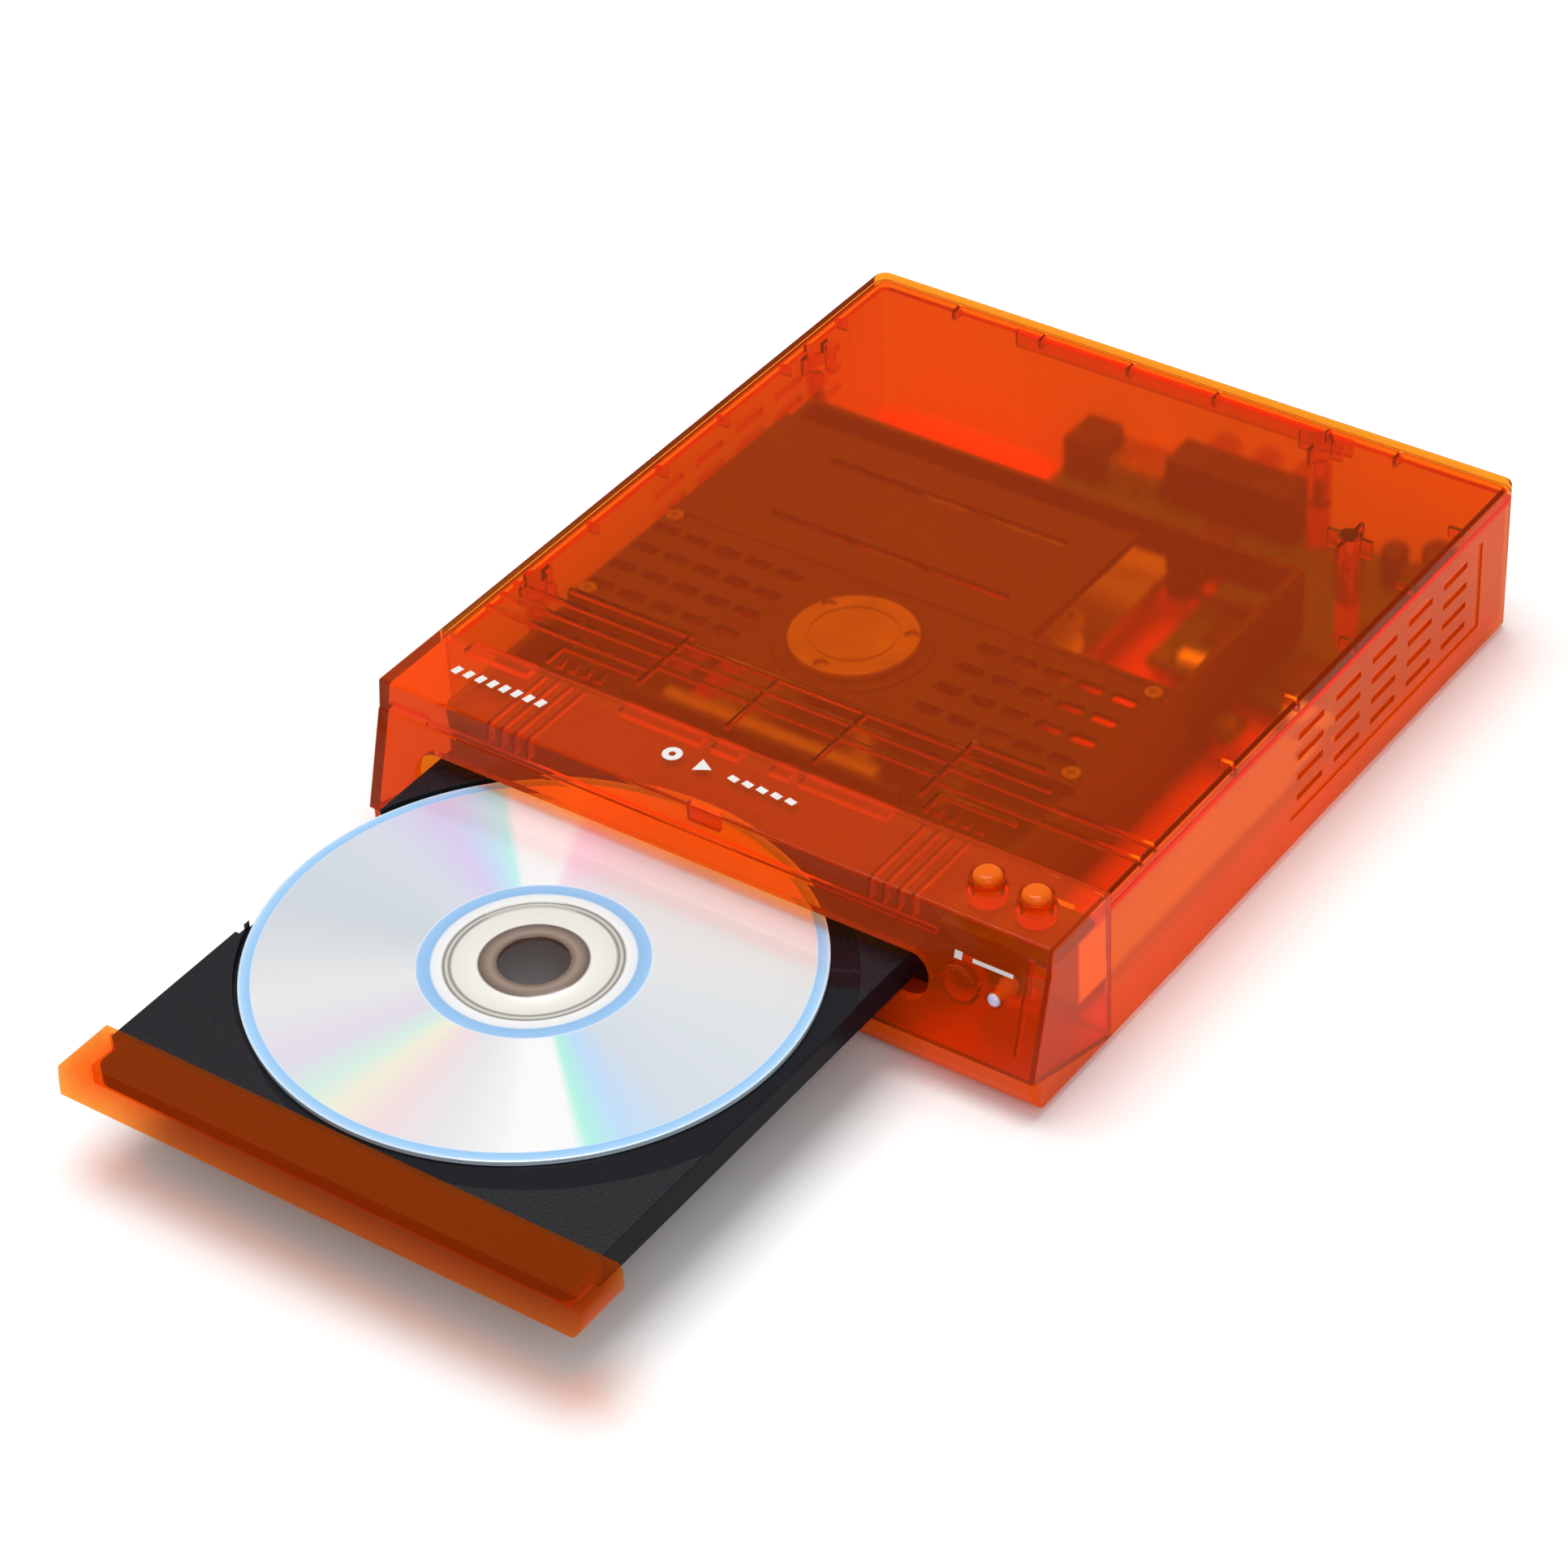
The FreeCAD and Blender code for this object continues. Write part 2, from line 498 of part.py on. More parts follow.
def make_tray_door():
    reach = TRAY_TRAVEL - 0.1
    front_low = panel_y(DOOR_LOW + 0.8) - reach
    front_high = panel_y(DOOR_TOP - 1.2) - reach
    profile = [(DOOR_REAR_Y, DOOR_LOW), (front_low + 1.2, DOOR_LOW), (front_low, DOOR_LOW + 0.8),
               (front_high, DOOR_TOP - 1.2), (front_high + 2.0, DOOR_TOP), (DOOR_REAR_Y, DOOR_TOP)]
    bar = prism_x(profile, DOOR_X0, DOOR_X1)
    plan = box(DOOR_X0, DOOR_X1, front_low - 1.0, DOOR_REAR_Y, 0, 40)
    plan = plan.makeFillet(4.4, [e for e in upright_edges(plan) if e.Vertexes[0].Y < front_low])
    plan = plan.makeFillet(1.2, [e for e in upright_edges(plan) if e.Vertexes[0].Y > DOOR_REAR_Y - 0.1])
    bar = bar.common(plan)
    # round ends in the front view, so that the door follows the slot's outline
    zc = (SLOT_Z0 + SLOT_Z1) / 2.0
    gap = SLOT_Z1 - zc - 0.5
    ends = join([box(DOOR_X0 + gap, DOOR_X1 - gap, -130, -100, 10, 40),
                 rod_y(DOOR_X0 + gap, -130, -100, zc, gap + 0.1),
                 rod_y(DOOR_X1 - gap, -130, -100, zc, gap + 0.1)])
    bar = bar.common(ends)
    pocket = box(18.2, TRAY_X1 + 0.2, TRAY_FRONT_Y - 9.3, DOOR_REAR_Y + 1, 20.3, TRAY_TOP + 0.25)
    side_pocket = box(TRAY_X0 - 0.3, TRAY_X1 + 0.3, TRAY_FRONT_Y - 0.3, DOOR_REAR_Y + 1,
                      10.0, TRAY_TOP + 0.25)
    return cut(bar, [pocket, side_pocket])


def make_disc():
    disc = cyl(DISC_X, DISC_Y, DISC_Z, DISC_Z + DISC_T, DISC_R)
    disc = cut(disc, [cyl(DISC_X, DISC_Y, 0, 60, DISC_HOLE_R)])
    ring_low = DISC_Z + DISC_T - 0.15
    groove = cut(cyl(DISC_X, DISC_Y, ring_low, ring_low + 1, 18.4), [cyl(DISC_X, DISC_Y, 0, 60, 17.9)])
    return cut(disc, [groove])


# --- loader --------------------------------------------------------------------------------

def make_loader_chassis():
    x0, x1, y0, y1 = LOADER_X0, LOADER_X1, LOADER_FRONT, LOADER_BACK
    deck = box(x0, x1, y0, y1, DECK_Z0, DECK_Z1)
    walls = [box(x0, x0 + 2.0, y0, y1, 6.0, LOADER_TOP),
             box(x1 - 2.0, x1, y0, 120.0, 6.0, LOADER_TOP),
             box(x1 - 2.0, x1, 119.0, y1, 12.6, LOADER_TOP),
             box(x0, x1, y0, y0 + 1.6, 6.0, 14.0),
             box(x0, x1, y1 - 1.6, y1, 20.4, LOADER_TOP),
             box(x0, 36.0, y1 - 1.6, y1, DECK_Z0, LOADER_TOP)]
    # rails that carry and guide the tray's two side walls, and hooks over the tray at the front
    rails = [box(13.0, 18.6, y0, y1, DECK_Z0, TRAY_LOW - 0.35),
             box(13.0, 14.9, y0, y1, DECK_Z0, 22.0),
             box(133.2, 138.7, y0, y1, 14.6, TRAY_LOW - 0.35),
             box(136.7, 138.7, y0, y1, 14.6, 22.0),
             box(133.2, 138.7, y0, 119.0, DECK_Z0, 15.0)]
    hooks = [box(x0, 17.4, y0, y0 + 7.0, 25.0, 26.6), box(x0, 10.0, y0, y0 + 7.0, 20.0, 26.6),
             box(134.2, x1, y0, y0 + 7.0, 25.0, 26.6)]
    tabs = []
    for x, y in TABS:
        tab_x0, tab_x1 = (x - 3.0, x0 + 1.0) if x < x0 else (x1 - 1.0, x + 3.4)
        tabs.append(box(tab_x0, tab_x1, y - 4.5, y + 4.5, DECK_Z0, DECK_Z1))
    # pins for the two gears, and the rear posts that hold the traverse's bushes
    pins = [cyl(DRIVE_X, GEAR_Y, DECK_Z0, 20.8, PIN_R), cyl(PULLEY_X, GEAR_Y, DECK_Z0, 20.0, PIN_R),
            cyl(DRIVE_X, GEAR_Y, DECK_Z0, 14.1, 2.4), cyl(PULLEY_X, GEAR_Y, DECK_Z0, 14.1, 2.4)]
    posts = [box(34.0, 39.4, 148.0, 161.0, 8.0, 18.4), box(106.2, 111.6, 148.0, 161.0, 10.2, 18.4),
             box(34.0, 39.4, 148.0, 152.0, DECK_Z0, 20.6), box(106.2, 111.6, 148.0, 152.0, 14.0, 20.6)]
    # guides of the lift cam: a wall in front of it and a sill below it
    guide = [box(26.0, 100.0, CAM_Y0 - 2.4, CAM_Y0 - 0.35, 4.6, 17.4),
             box(26.0, 100.0, CAM_Y0 - 2.4, CAM_Y1 + 1.6, 4.1, 4.7),
             box(26.0, 100.0, CAM_Y1 + 0.35, CAM_Y1 + 1.6, 4.1, 6.0),
             box(26.0, 30.0, 44.0, CAM_Y0 - 0.35, DECK_Z0, DECK_Z1),
             box(96.0, 100.0, 44.0, CAM_Y0 - 0.35, DECK_Z0, DECK_Z1)]
    bosses = [cyl(x, y, LOADER_TOP - 3.8, LOADER_TOP, 2.6) for x, y in BRIDGE_SCREWS]
    cuts = [box(37.0, 109.0, CAM_Y0 - 0.35, y1 + 1.0, DECK_Z0 - 1, DECK_Z1 + 1),
            box(21.0, 37.5, CAM_Y0 - 0.35, CAM_Y1 + 0.6, DECK_Z0 - 1, DECK_Z1 + 1),
            box(108.0, 133.2, 86.0, y1 - 1.6, DECK_Z0 - 1, DECK_Z1 + 1),
            round_box(22.0, 34.0, 62.0, 140.0, DECK_Z0 - 1, DECK_Z1 + 1, 2.0),
            round_box(24.0, 62.0, 18.0, 44.0, DECK_Z0 - 1, DECK_Z1 + 1, 2.0),
            cyl(MOTOR_X, GEAR_Y, DECK_Z0 - 1, DECK_Z1 + 1, 10.8)]
    deck = cut(deck, cuts)
    chassis = join([deck] + walls + rails + hooks + tabs + pins + posts + guide + bosses)
    tools = [cyl(x, y, DECK_Z0 - 1, DECK_Z1 + 1, 1.45) for x, y in TABS]
    tools += [cyl(x, y, LOADER_TOP - 3.2, LOADER_TOP + 1, 1.05) for x, y in BRIDGE_SCREWS]
    tools += [rod_x(33.0, 40.0, PIVOT_Y, PIVOT_Z, 2.6), rod_x(105.0, 113.0, PIVOT_Y, PIVOT_Z, 2.6)]
    return cut(chassis, tools)


def make_bridge():
    x0, x1 = LOADER_X0, LOADER_X1
    z0, z1 = LOADER_TOP, LOADER_TOP + BRIDGE_T
    plate = join([box(x0, x1, 55.0, 95.0, z0, z1), box(x0, 104.0, 94.0, 140.0, z0, z1)])
    ring = cyl(DISC_X, SPINDLE_Y, z0, z1 + 0.6, 18.0)
    plate = join([plate, ring, box(x0, x1, 55.0, 56.2, z0, z1 + 0.8), box(x0, x1, 93.8, 95.0, z0, z1 + 0.8),
                  box(102.8, 104.0, 94.0, 140.0, z0, z1 + 0.8)])
    tools = [cyl(DISC_X, SPINDLE_Y, z0 - 1, z1 + 2, PUCK_HOLE_R)]
    for side in (-1, 1):
        for column in range(5):
            xc = DISC_X + side * (26.5 + 8.4 * column)
            for row in range(4):
                yc = 62.5 + 8.2 * row
                tools.append(round_box(xc - 3.3, xc + 3.3, yc - 1.6, yc + 1.6, z0 - 1, z1 + 2, 0.9))
    tools += [cyl(x, y, z0 - 1, z1 + 2, 1.3) for x, y in BRIDGE_SCREWS]
    tools.append(round_box(28.0, 92.0, 104.0, 106.4, z0 - 1, z1 + 2, 1.0))
    tools.append(round_box(28.0, 92.0, 128.0, 130.4, z0 - 1, z1 + 2, 1.0))
    return cut(plate, tools)


def make_clamp_puck():
    rest_z = LOADER_TOP + BRIDGE_T + 0.6 + 0.3
    flange = cyl(DISC_X, SPINDLE_Y, rest_z, rest_z + 1.6, 14.6)
    flange = flange.makeFillet(0.5, level_edges(flange, rest_z + 1.6))
    neck = cyl(DISC_X, SPINDLE_Y, PUCK_BOTTOM + 1.5, rest_z + 0.2, PUCK_HOLE_R - 0.6)
    foot = cyl(DISC_X, SPINDLE_Y, PUCK_BOTTOM, PUCK_BOTTOM + 1.8, 13.0)
    tools = [cyl(DISC_X, SPINDLE_Y, PUCK_BOTTOM - 1, PUCK_BOTTOM + 5.6, NOSE_R + 0.6),
             cut(cyl(DISC_X, SPINDLE_Y, rest_z + 1.2, rest_z + 3, 10.2),
                 [cyl(DISC_X, SPINDLE_Y, 0, 60, 9.4)])]
    for n in range(3):
        angle = math.radians(30 + 120 * n)
        x = DISC_X + 12.6 * math.cos(angle)
        y = SPINDLE_Y + 12.6 * math.sin(angle)
        tools.append(cyl(x, y, rest_z + 0.6, rest_z + 3, 1.7))
    return cut(join([flange, neck, foot.common(cyl(DISC_X, SPINDLE_Y, 0, 60, PUCK_HOLE_R - 0.3))]), tools)


def make_clamp_magnet():
    ring = cyl(DISC_X, SPINDLE_Y, PUCK_BOTTOM + 2.6, PUCK_BOTTOM + 5.58, NOSE_R + 0.55)
    return cut(ring, [cyl(DISC_X, SPINDLE_Y, 0, 60, 3.0)])


def make_loading_motor():
    can = cyl(MOTOR_X, GEAR_Y, 4.4, 14.6, 10.4)
    can = can.makeFillet(1.0, level_edges(can, 4.4))
    flange = box(MOTOR_X - 14.0, MOTOR_X + 14.0, GEAR_Y - 4.0, GEAR_Y + 4.0, DECK_Z1 + 0.02, DECK_Z1 + 1.0)
    boss = cyl(MOTOR_X, GEAR_Y, 14.0, 15.6, 3.0)
    shaft = cyl(MOTOR_X, GEAR_Y, 15.0, 20.0, 0.9)
    return join([can, flange, boss, shaft])


def pulley(x, z0, z1, rim_r, groove_r):
    shape = cyl(x, GEAR_Y, z0, z1, rim_r)
    groove = cut(cyl(x, GEAR_Y, BELT_Z - 0.25, BELT_Z + BELT_T + 0.25, rim_r + 1),
                 [cyl(x, GEAR_Y, z0 - 1, z1 + 1, groove_r)])
    return cut(shape, [groove])


def make_motor_pulley():
    return cut(pulley(MOTOR_X, 16.5, 19.6, 3.6, MOTOR_GROOVE_R),
               [cyl(MOTOR_X, GEAR_Y, 10, 30, 0.9 + RUNNING)])


def make_pulley_gear():
    wheel = pulley(PULLEY_X, 16.7, 19.5, 8.1, PULLEY_GROOVE_R)
    pinion = gear_disc(PULLEY_X, GEAR_Y, 14.3, 16.8, PINION_TEETH, TRAIN_MODULE, offset=0.5)
    return cut(join([wheel, pinion]), [cyl(PULLEY_X, GEAR_Y, 10, 30, PIN_R + RUNNING)])


def make_drive_gear():
    wheel = gear_disc(DRIVE_X, GEAR_Y, 14.3, 16.4, WHEEL_TEETH, TRAIN_MODULE)
    hub = cyl(DRIVE_X, GEAR_Y, 16.2, 17.6, 6.0)
    small = gear_disc(DRIVE_X, GEAR_Y, 17.4, 20.8, DRIVE_TEETH, RACK_MODULE)
    return cut(join([wheel, hub, small]), [cyl(DRIVE_X, GEAR_Y, 10, 30, PIN_R + RUNNING)])


def belt_loop(r_small, r_large, z0, z1):
    """Solid inside a belt line round the two pulleys."""
    span = PULLEY_X - MOTOR_X
    nx = -(r_large - r_small) / span
    ny = math.sqrt(1 - nx * nx)
    a = Vector(MOTOR_X + r_small * nx, GEAR_Y + r_small * ny, z0)
    b = Vector(PULLEY_X + r_large * nx, GEAR_Y + r_large * ny, z0)
    c = Vector(b.x, 2 * GEAR_Y - b.y, z0)
    d = Vector(a.x, 2 * GEAR_Y - a.y, z0)
    edges = [Part.LineSegment(a, b).toShape(),
             Part.Arc(b, Vector(PULLEY_X + r_large, GEAR_Y, z0), c).toShape(),
             Part.LineSegment(c, d).toShape(),
             Part.Arc(d, Vector(MOTOR_X - r_small, GEAR_Y, z0), a).toShape()]
    return Part.Face(Part.Wire(edges)).extrude(Vector(0, 0, z1 - z0))


def make_drive_belt():
    inner = 0.1
    outer = inner + BELT_T
    loop = belt_loop(MOTOR_GROOVE_R + outer, PULLEY_GROOVE_R + outer, BELT_Z, BELT_Z + BELT_T)
    return cut(loop, [belt_loop(MOTOR_GROOVE_R + inner, PULLEY_GROOVE_R + inner, BELT_Z - 1, BELT_Z + 3)])


def cam_pin_height(turned):
    """Height of the traverse's front pin, level (False) or at rest (True)."""
    angle = math.radians(TILT if turned else 0.0)
    dy = FRAME_FRONT - 4.0 - PIVOT_Y
    dz = CAM_PIN_Z - PIVOT_Z
    return PIVOT_Z + dy * math.sin(angle) + dz * math.cos(angle)


def make_lift_cam():
    low = cam_pin_height(True)
    high = cam_pin_height(False)
    plate = box(36.0, 92.0, CAM_Y0, CAM_Y1, 5.0, 17.2)
    half = CAM_PIN_R + 0.45
    flat = 3.0
    line = [(CAM_PIN_X - flat, low), (CAM_PIN_X + 0.6, low), (CAM_PIN_X + CAM_TRAVEL - 0.6, high),
            (CAM_PIN_X + CAM_TRAVEL + flat, high)]
    slot = prism_y([(x, z - half) for x, z in line] + [(x, z + half) for x, z in reversed(line)],
                   CAM_Y0 - 1, CAM_Y1 + 1)
    light = [round_box(40.0, 48.0, CAM_Y0 - 1, CAM_Y1 + 1, 7.0, 14.5, 1.0)]
    return cut(plate, [slot] + light)


# --- traverse ------------------------------------------------------------------------------

def make_traverse_frame():
    plate = box(FRAME_X0, FRAME_X1, FRAME_FRONT, FRAME_BACK, FRAME_Z0, FRAME_Z1)
    lips = [box(FRAME_X0, FRAME_X0 + 1.4, FRAME_FRONT, FRAME_BACK, 11.0, FRAME_Z1),
            box(FRAME_X1 - 1.4, FRAME_X1, FRAME_FRONT, FRAME_BACK, 11.0, FRAME_Z1),
            box(FRAME_X0, FRAME_X1, FRAME_FRONT, FRAME_FRONT + 1.4, 11.0, FRAME_Z1),
            box(FRAME_X0, FRAME_X1, FRAME_BACK - 1.4, FRAME_BACK, 12.0, FRAME_Z1)]
    pins = [rod_x(FRAME_X0 - 6.0, FRAME_X0 + 1.0, PIVOT_Y, PIVOT_Z, 1.5),
            rod_x(FRAME_X1 - 1.0, FRAME_X1 + 6.0, PIVOT_Y, PIVOT_Z, 1.5),
            rod_y(CAM_PIN_X, FRAME_FRONT - 6.6, FRAME_FRONT + 1.0, CAM_PIN_Z, CAM_PIN_R)]
    saddles = []
    for x in ROD_XS:
        for y in (84.6, 147.4):
            saddles.append(box(x - 2.6, x + 2.6, y - 1.6, y + 1.6, FRAME_Z0, 19.0))
    gear_pin = [cyl(SLED_GEAR_X, SLED_GEAR_Y, FRAME_Z0, 19.6, 1.0)]
    frame = cut(plate, [box(53.0, 91.0, 86.2, 145.8, 0, 40), cyl(DISC_X, SPINDLE_Y, 0, 40, 9.0),
                        cyl(SLED_GEAR_X, SLED_PINION_Y, 0, 40, 2.0)])
    frame = join([frame] + lips + pins + saddles + gear_pin)
    return tilt(cut(frame, [rod_y(x, 82.0, 152.0, ROD_Z, 1.55) for x in ROD_XS]))


def make_spindle_motor():
    can = cyl(DISC_X, SPINDLE_Y, FRAME_Z1 + 0.02, 20.0, 10.4)
    can = can.makeFillet(0.8, level_edges(can, 20.0))
    base = cyl(DISC_X, SPINDLE_Y, 12.0, FRAME_Z1 + 0.2, 8.6)
    return tilt(cut(join([can, base]), [cyl(DISC_X, SPINDLE_Y, 12.8, 30, 1.0 + RUNNING)]))


def make_turntable():
    table = cyl(DISC_X, SPINDLE_Y, TABLE_TOP - 1.8, TABLE_TOP, TABLE_R)
    nose = join([cyl(DISC_X, SPINDLE_Y, TABLE_TOP - 0.1, TABLE_TOP + 1.6, NOSE_R),
                 cone(DISC_X, SPINDLE_Y, TABLE_TOP + 1.6, TABLE_TOP + 2.6, NOSE_R, 5.0)])
    shaft = cyl(DISC_X, SPINDLE_Y, 13.0, TABLE_TOP, 1.0)
    return tilt(join([table, nose, shaft]))


def make_guide_rods():
    return group([tilt(rod_y(x, 82.8, 149.2, ROD_Z, 1.5)) for x in ROD_XS])


def make_pickup_sled():
    y0 = SLED_Y0
    y1 = SLED_Y0 + SLED_LEN
    body = box(54.4, 88.2, y0, y1, 12.4, 18.6)
    body = body.makeFillet(1.6, upright_edges(body))
    head = round_box(64.0, 81.0, y0 + 2.0, y1 - 2.0, 18.4, 19.8, 2.0)
    shoulder = box(86.0, 90.2, y0 + 2.0, y1 - 2.0, 15.6, 17.4)
    rack = rack_bar(SLED_RACK_X, 76.5, 115.5, SLED_GEAR_Y, 15.6, 17.4, SLED_MODULE, 1, 2.2)
    sled = join([body, head, shoulder, rack])
    cuts = [rod_y(x, 70.0, 160.0, ROD_Z, 1.5 + RUNNING) for x in ROD_XS]
    cuts.append(cyl(DISC_X, SLED_Y0 + SLED_LEN / 2.0, 16.0, 30, 3.2))
    return tilt(cut(sled, cuts))


def make_pickup_lens():
    yc = SLED_Y0 + SLED_LEN / 2.0
    barrel = cyl(DISC_X, yc, 16.02, 20.2, 3.0)
    dome = Part.makeSphere(3.4, Vector(DISC_X, yc, 17.6)).common(cyl(DISC_X, yc, 19.0, 22.0, 2.3))
    return tilt(join([barrel, dome]))


def make_sled_motor():
    can = cyl(SLED_GEAR_X, SLED_PINION_Y, 7.0, FRAME_Z0 - 0.02, 6.0)
    can = can.makeFillet(0.8, level_edges(can, 7.0))
    shaft = cyl(SLED_GEAR_X, SLED_PINION_Y, 12.0, 19.4, 0.8)
    return tilt(join([can, shaft]))


def make_sled_gear():
    small = gear_disc(SLED_GEAR_X, SLED_GEAR_Y, 15.3, 17.7, SLED_GEAR_TEETH, SLED_MODULE)
    wheel = gear_disc(SLED_GEAR_X, SLED_GEAR_Y, 17.7, 19.2, SLED_WHEEL_TEETH, SLED_WHEEL_MODULE)
    return tilt(cut(join([small, wheel]), [cyl(SLED_GEAR_X, SLED_GEAR_Y, 10, 30, 1.0 + RUNNING)]))


def make_sled_pinion():
    pinion = gear_disc(SLED_GEAR_X, SLED_PINION_Y, 16.6, 19.2, SLED_PINION_TEETH, SLED_WHEEL_MODULE)
    return tilt(cut(pinion, [cyl(SLED_GEAR_X, SLED_PINION_Y, 10, 30, 0.8 + RUNNING)]))


def make_bushes():
    bushes = []
    for x0 in (34.6, 106.8):
        bush = rod_x(x0, x0 + 4.6, PIVOT_Y, PIVOT_Z, 2.58)
        bushes.append(cut(bush, [rod_x(x0 - 1, x0 + 6, PIVOT_Y, PIVOT_Z, 1.5 + RUNNING)]))
    return group(bushes)


# --- boards and sockets --------------------------------------------------------------------

def make_main_board():
    board = join([box(58.0, 163.0, 165.0, 188.6, BOARD_Z, BOARD_Z + BOARD_T),
                  box(114.0, 163.0, 126.0, 166.0, BOARD_Z, BOARD_Z + BOARD_T)])
    tools = [cyl(x, y, 0, 40, BOSS_R + 0.6) for x, y in BOSSES[2:]]
    tools += [cyl(x, y, 0, 40, 1.3) for x, y in BOARD_SCREWS]
    return cut(board, tools)


def chip(x0, x1, y0, y1, z0, height):
    body = box(x0, x1, y0, y1, z0 + 0.3, z0 + height)
    leads = []
    count = int((y1 - y0 - 1.0) / 1.6)
    for n in range(count):
        y = y0 + 1.0 + 1.6 * n
        leads.append(box(x0 - 1.0, x1 + 1.0, y, y + 0.6, z0, z0 + 0.8))
    return join([body] + leads)


def make_processor_chip():
    top = BOARD_Z + BOARD_T
    return join([chip(122.0, 138.0, 138.0, 154.0, top, 1.8),
                 box(123.5, 136.5, 139.5, 152.5, top + 1.7, top + 2.1)])


def make_memory_chips():
    top = BOARD_Z + BOARD_T
    return group([chip(144.5, 152.5, 131.0, 145.0, top, 1.6), chip(100.0, 108.0, 167.5, 178.0, top, 1.6)])


def make_capacitors():
    top = BOARD_Z + BOARD_T
    spots = ((157.0, 172.0, 4.0, 12.0), (157.0, 182.0, 4.0, 12.0), (147.0, 180.0, 3.2, 10.0),
             (138.5, 174.0, 3.2, 10.0), (157.5, 150.5, 3.2, 9.0))
    cans = []
    for x, y, r, h in spots:
        can = cyl(x, y, top, top + h, r)
        can = can.makeFillet(0.5, level_edges(can, top + h))
        groove = cut(cyl(x, y, top + 1.4, top + 2.0, r + 1), [cyl(x, y, 0, 60, r - 0.3)])
        cans.append(cut(can, [groove]))
    return group(cans)


def make_connectors():
    top = BOARD_Z + BOARD_T
    parts = []
    for x0, x1, y0 in ((121.0, 139.0, 128.0), (66.0, 84.0, 166.5)):
        body = box(x0, x1, y0, y0 + 3.6, top, top + 2.1)
        parts.append(cut(body, [box(x0 + 1.2, x1 - 1.2, y0 - 1, y0 + 2.0, top + 0.8, top + 1.5)]))
    return group(parts)


def make_power_inlet():
    top = BOARD_Z + BOARD_T
    body = box(INLET_X - 4.6, INLET_X + 4.6, 178.0, 189.8, top, 20.0)
    nose = rod_y(INLET_X, 189.0, 191.8, 15.2, 3.9)
    shape = cut(join([body, nose]), [rod_y(INLET_X, 181.0, 195.0, 15.2, 2.8)])
    return join([shape, rod_y(INLET_X, 179.0, 191.0, 15.2, 0.95)])


def make_video_socket():
    top = BOARD_Z + BOARD_T
    outline = [(VIDEO_X - 7.4, 15.9), (VIDEO_X - 7.4, 12.2),
               (VIDEO_X - 5.6, top + 0.2), (VIDEO_X + 5.6, top + 0.2),
               (VIDEO_X + 7.4, 12.2), (VIDEO_X + 7.4, 15.9)]
    inner = [(VIDEO_X - 6.8, 15.3), (VIDEO_X - 6.8, 12.4),
             (VIDEO_X - 5.2, top + 0.8), (VIDEO_X + 5.2, top + 0.8),
             (VIDEO_X + 6.8, 12.4), (VIDEO_X + 6.8, 15.3)]
    shell = cut(prism_y(outline, 180.0, 191.8), [prism_y(inner, 181.2, 193.0)])
    tongue = box(VIDEO_X - 5.6, VIDEO_X + 5.6, 180.5, 190.6, 12.9, 14.1)
    return join([shell, tongue])


def make_jack_block():
    top = BOARD_Z + BOARD_T
    block = box(JACK_XS[0] - 5.4, JACK_XS[-1] + 5.4, 180.0, 189.8, top, 22.4)
    notches = []
    for x in (97.5, 108.5):
        notches.append(box(x - 0.3, x + 0.3, 179.0, 191.0, 18.0, 23.0))
    notches += [rod_y(x, 183.0, 195.0, JACK_Z, 4.3) for x in JACK_XS]
    return cut(block, notches)


def make_jack_barrels():
    barrels = []
    for x in JACK_XS:
        barrel = rod_y(x, 183.1, CASE_D + JACK_REACH, JACK_Z, JACK_BARREL_R)
        barrels.append(cut(barrel, [rod_y(x, 186.0, 210.0, JACK_Z, 3.35)]))
    return group(barrels)


def make_jack_insulators():
    plugs = []
    for x in JACK_XS:
        plug = rod_y(x, 186.02, CASE_D + JACK_REACH - 0.8, JACK_Z, 3.3)
        plugs.append(cut(plug, [rod_y(x, 188.0, 210.0, JACK_Z, 1.6)]))
    return group(plugs)


def make_key_board():
    board = box(141.0, 166.6, 3.4, 19.6, KEY_BOARD_Z, KEY_BOARD_Z + BOARD_T)
    tab = box(145.0, 162.0, 3.4, 4.8, 22.0, KEY_BOARD_Z + 0.3)
    return join([board, tab])


def make_tact_switches():
    top = KEY_BOARD_Z + BOARD_T
    switches = []
    for x in BUTTON_XS:
        base = box(x - 3.0, x + 3.0, BUTTON_Y - 3.0, BUTTON_Y + 3.0, top, top + 0.9)
        switches.append(join([base, cyl(x, BUTTON_Y, top + 0.8, PLATE_UNDER - 3.5, 1.6)]))
    return group(switches)


def make_standby_led():
    nose_y = panel_y(SIGNAL_Z) - 0.5
    bulb = rod_y(LED_X, nose_y + 1.7, 3.4, SIGNAL_Z, 1.7)
    tip = Part.makeSphere(1.7, Vector(LED_X, nose_y + 1.7, SIGNAL_Z))
    flange = rod_y(LED_X, 2.2, 3.38, SIGNAL_Z, 2.1)
    return join([bulb, tip, flange])


def make_ir_receiver():
    body = box(WINDOW_X - 3.0, WINDOW_X + 3.0, 1.4, 3.38, SIGNAL_Z - 3.4, SIGNAL_Z + 3.4)
    lens = rod_y(WINDOW_X, -0.75, 1.6, SIGNAL_Z, 2.4)
    return join([body, lens])


def make_front_cable():
    """Flat cable from the key board back along the right side to the main board."""
    x0, x1 = 151.0, 161.0
    t = 0.4
    strips = [box(x0, x1, 19.0, 22.6, 31.05, 31.05 + t), box(x0, x1, 22.2, 22.6, 6.0, 31.45),
              box(x0, x1, 22.2, 123.0, 6.0, 6.0 + t), box(x0, x1, 122.6, 123.0, 6.0, 11.6),
              box(x0, x1, 122.6, 129.0, 11.2, 11.6)]
    return join(strips)


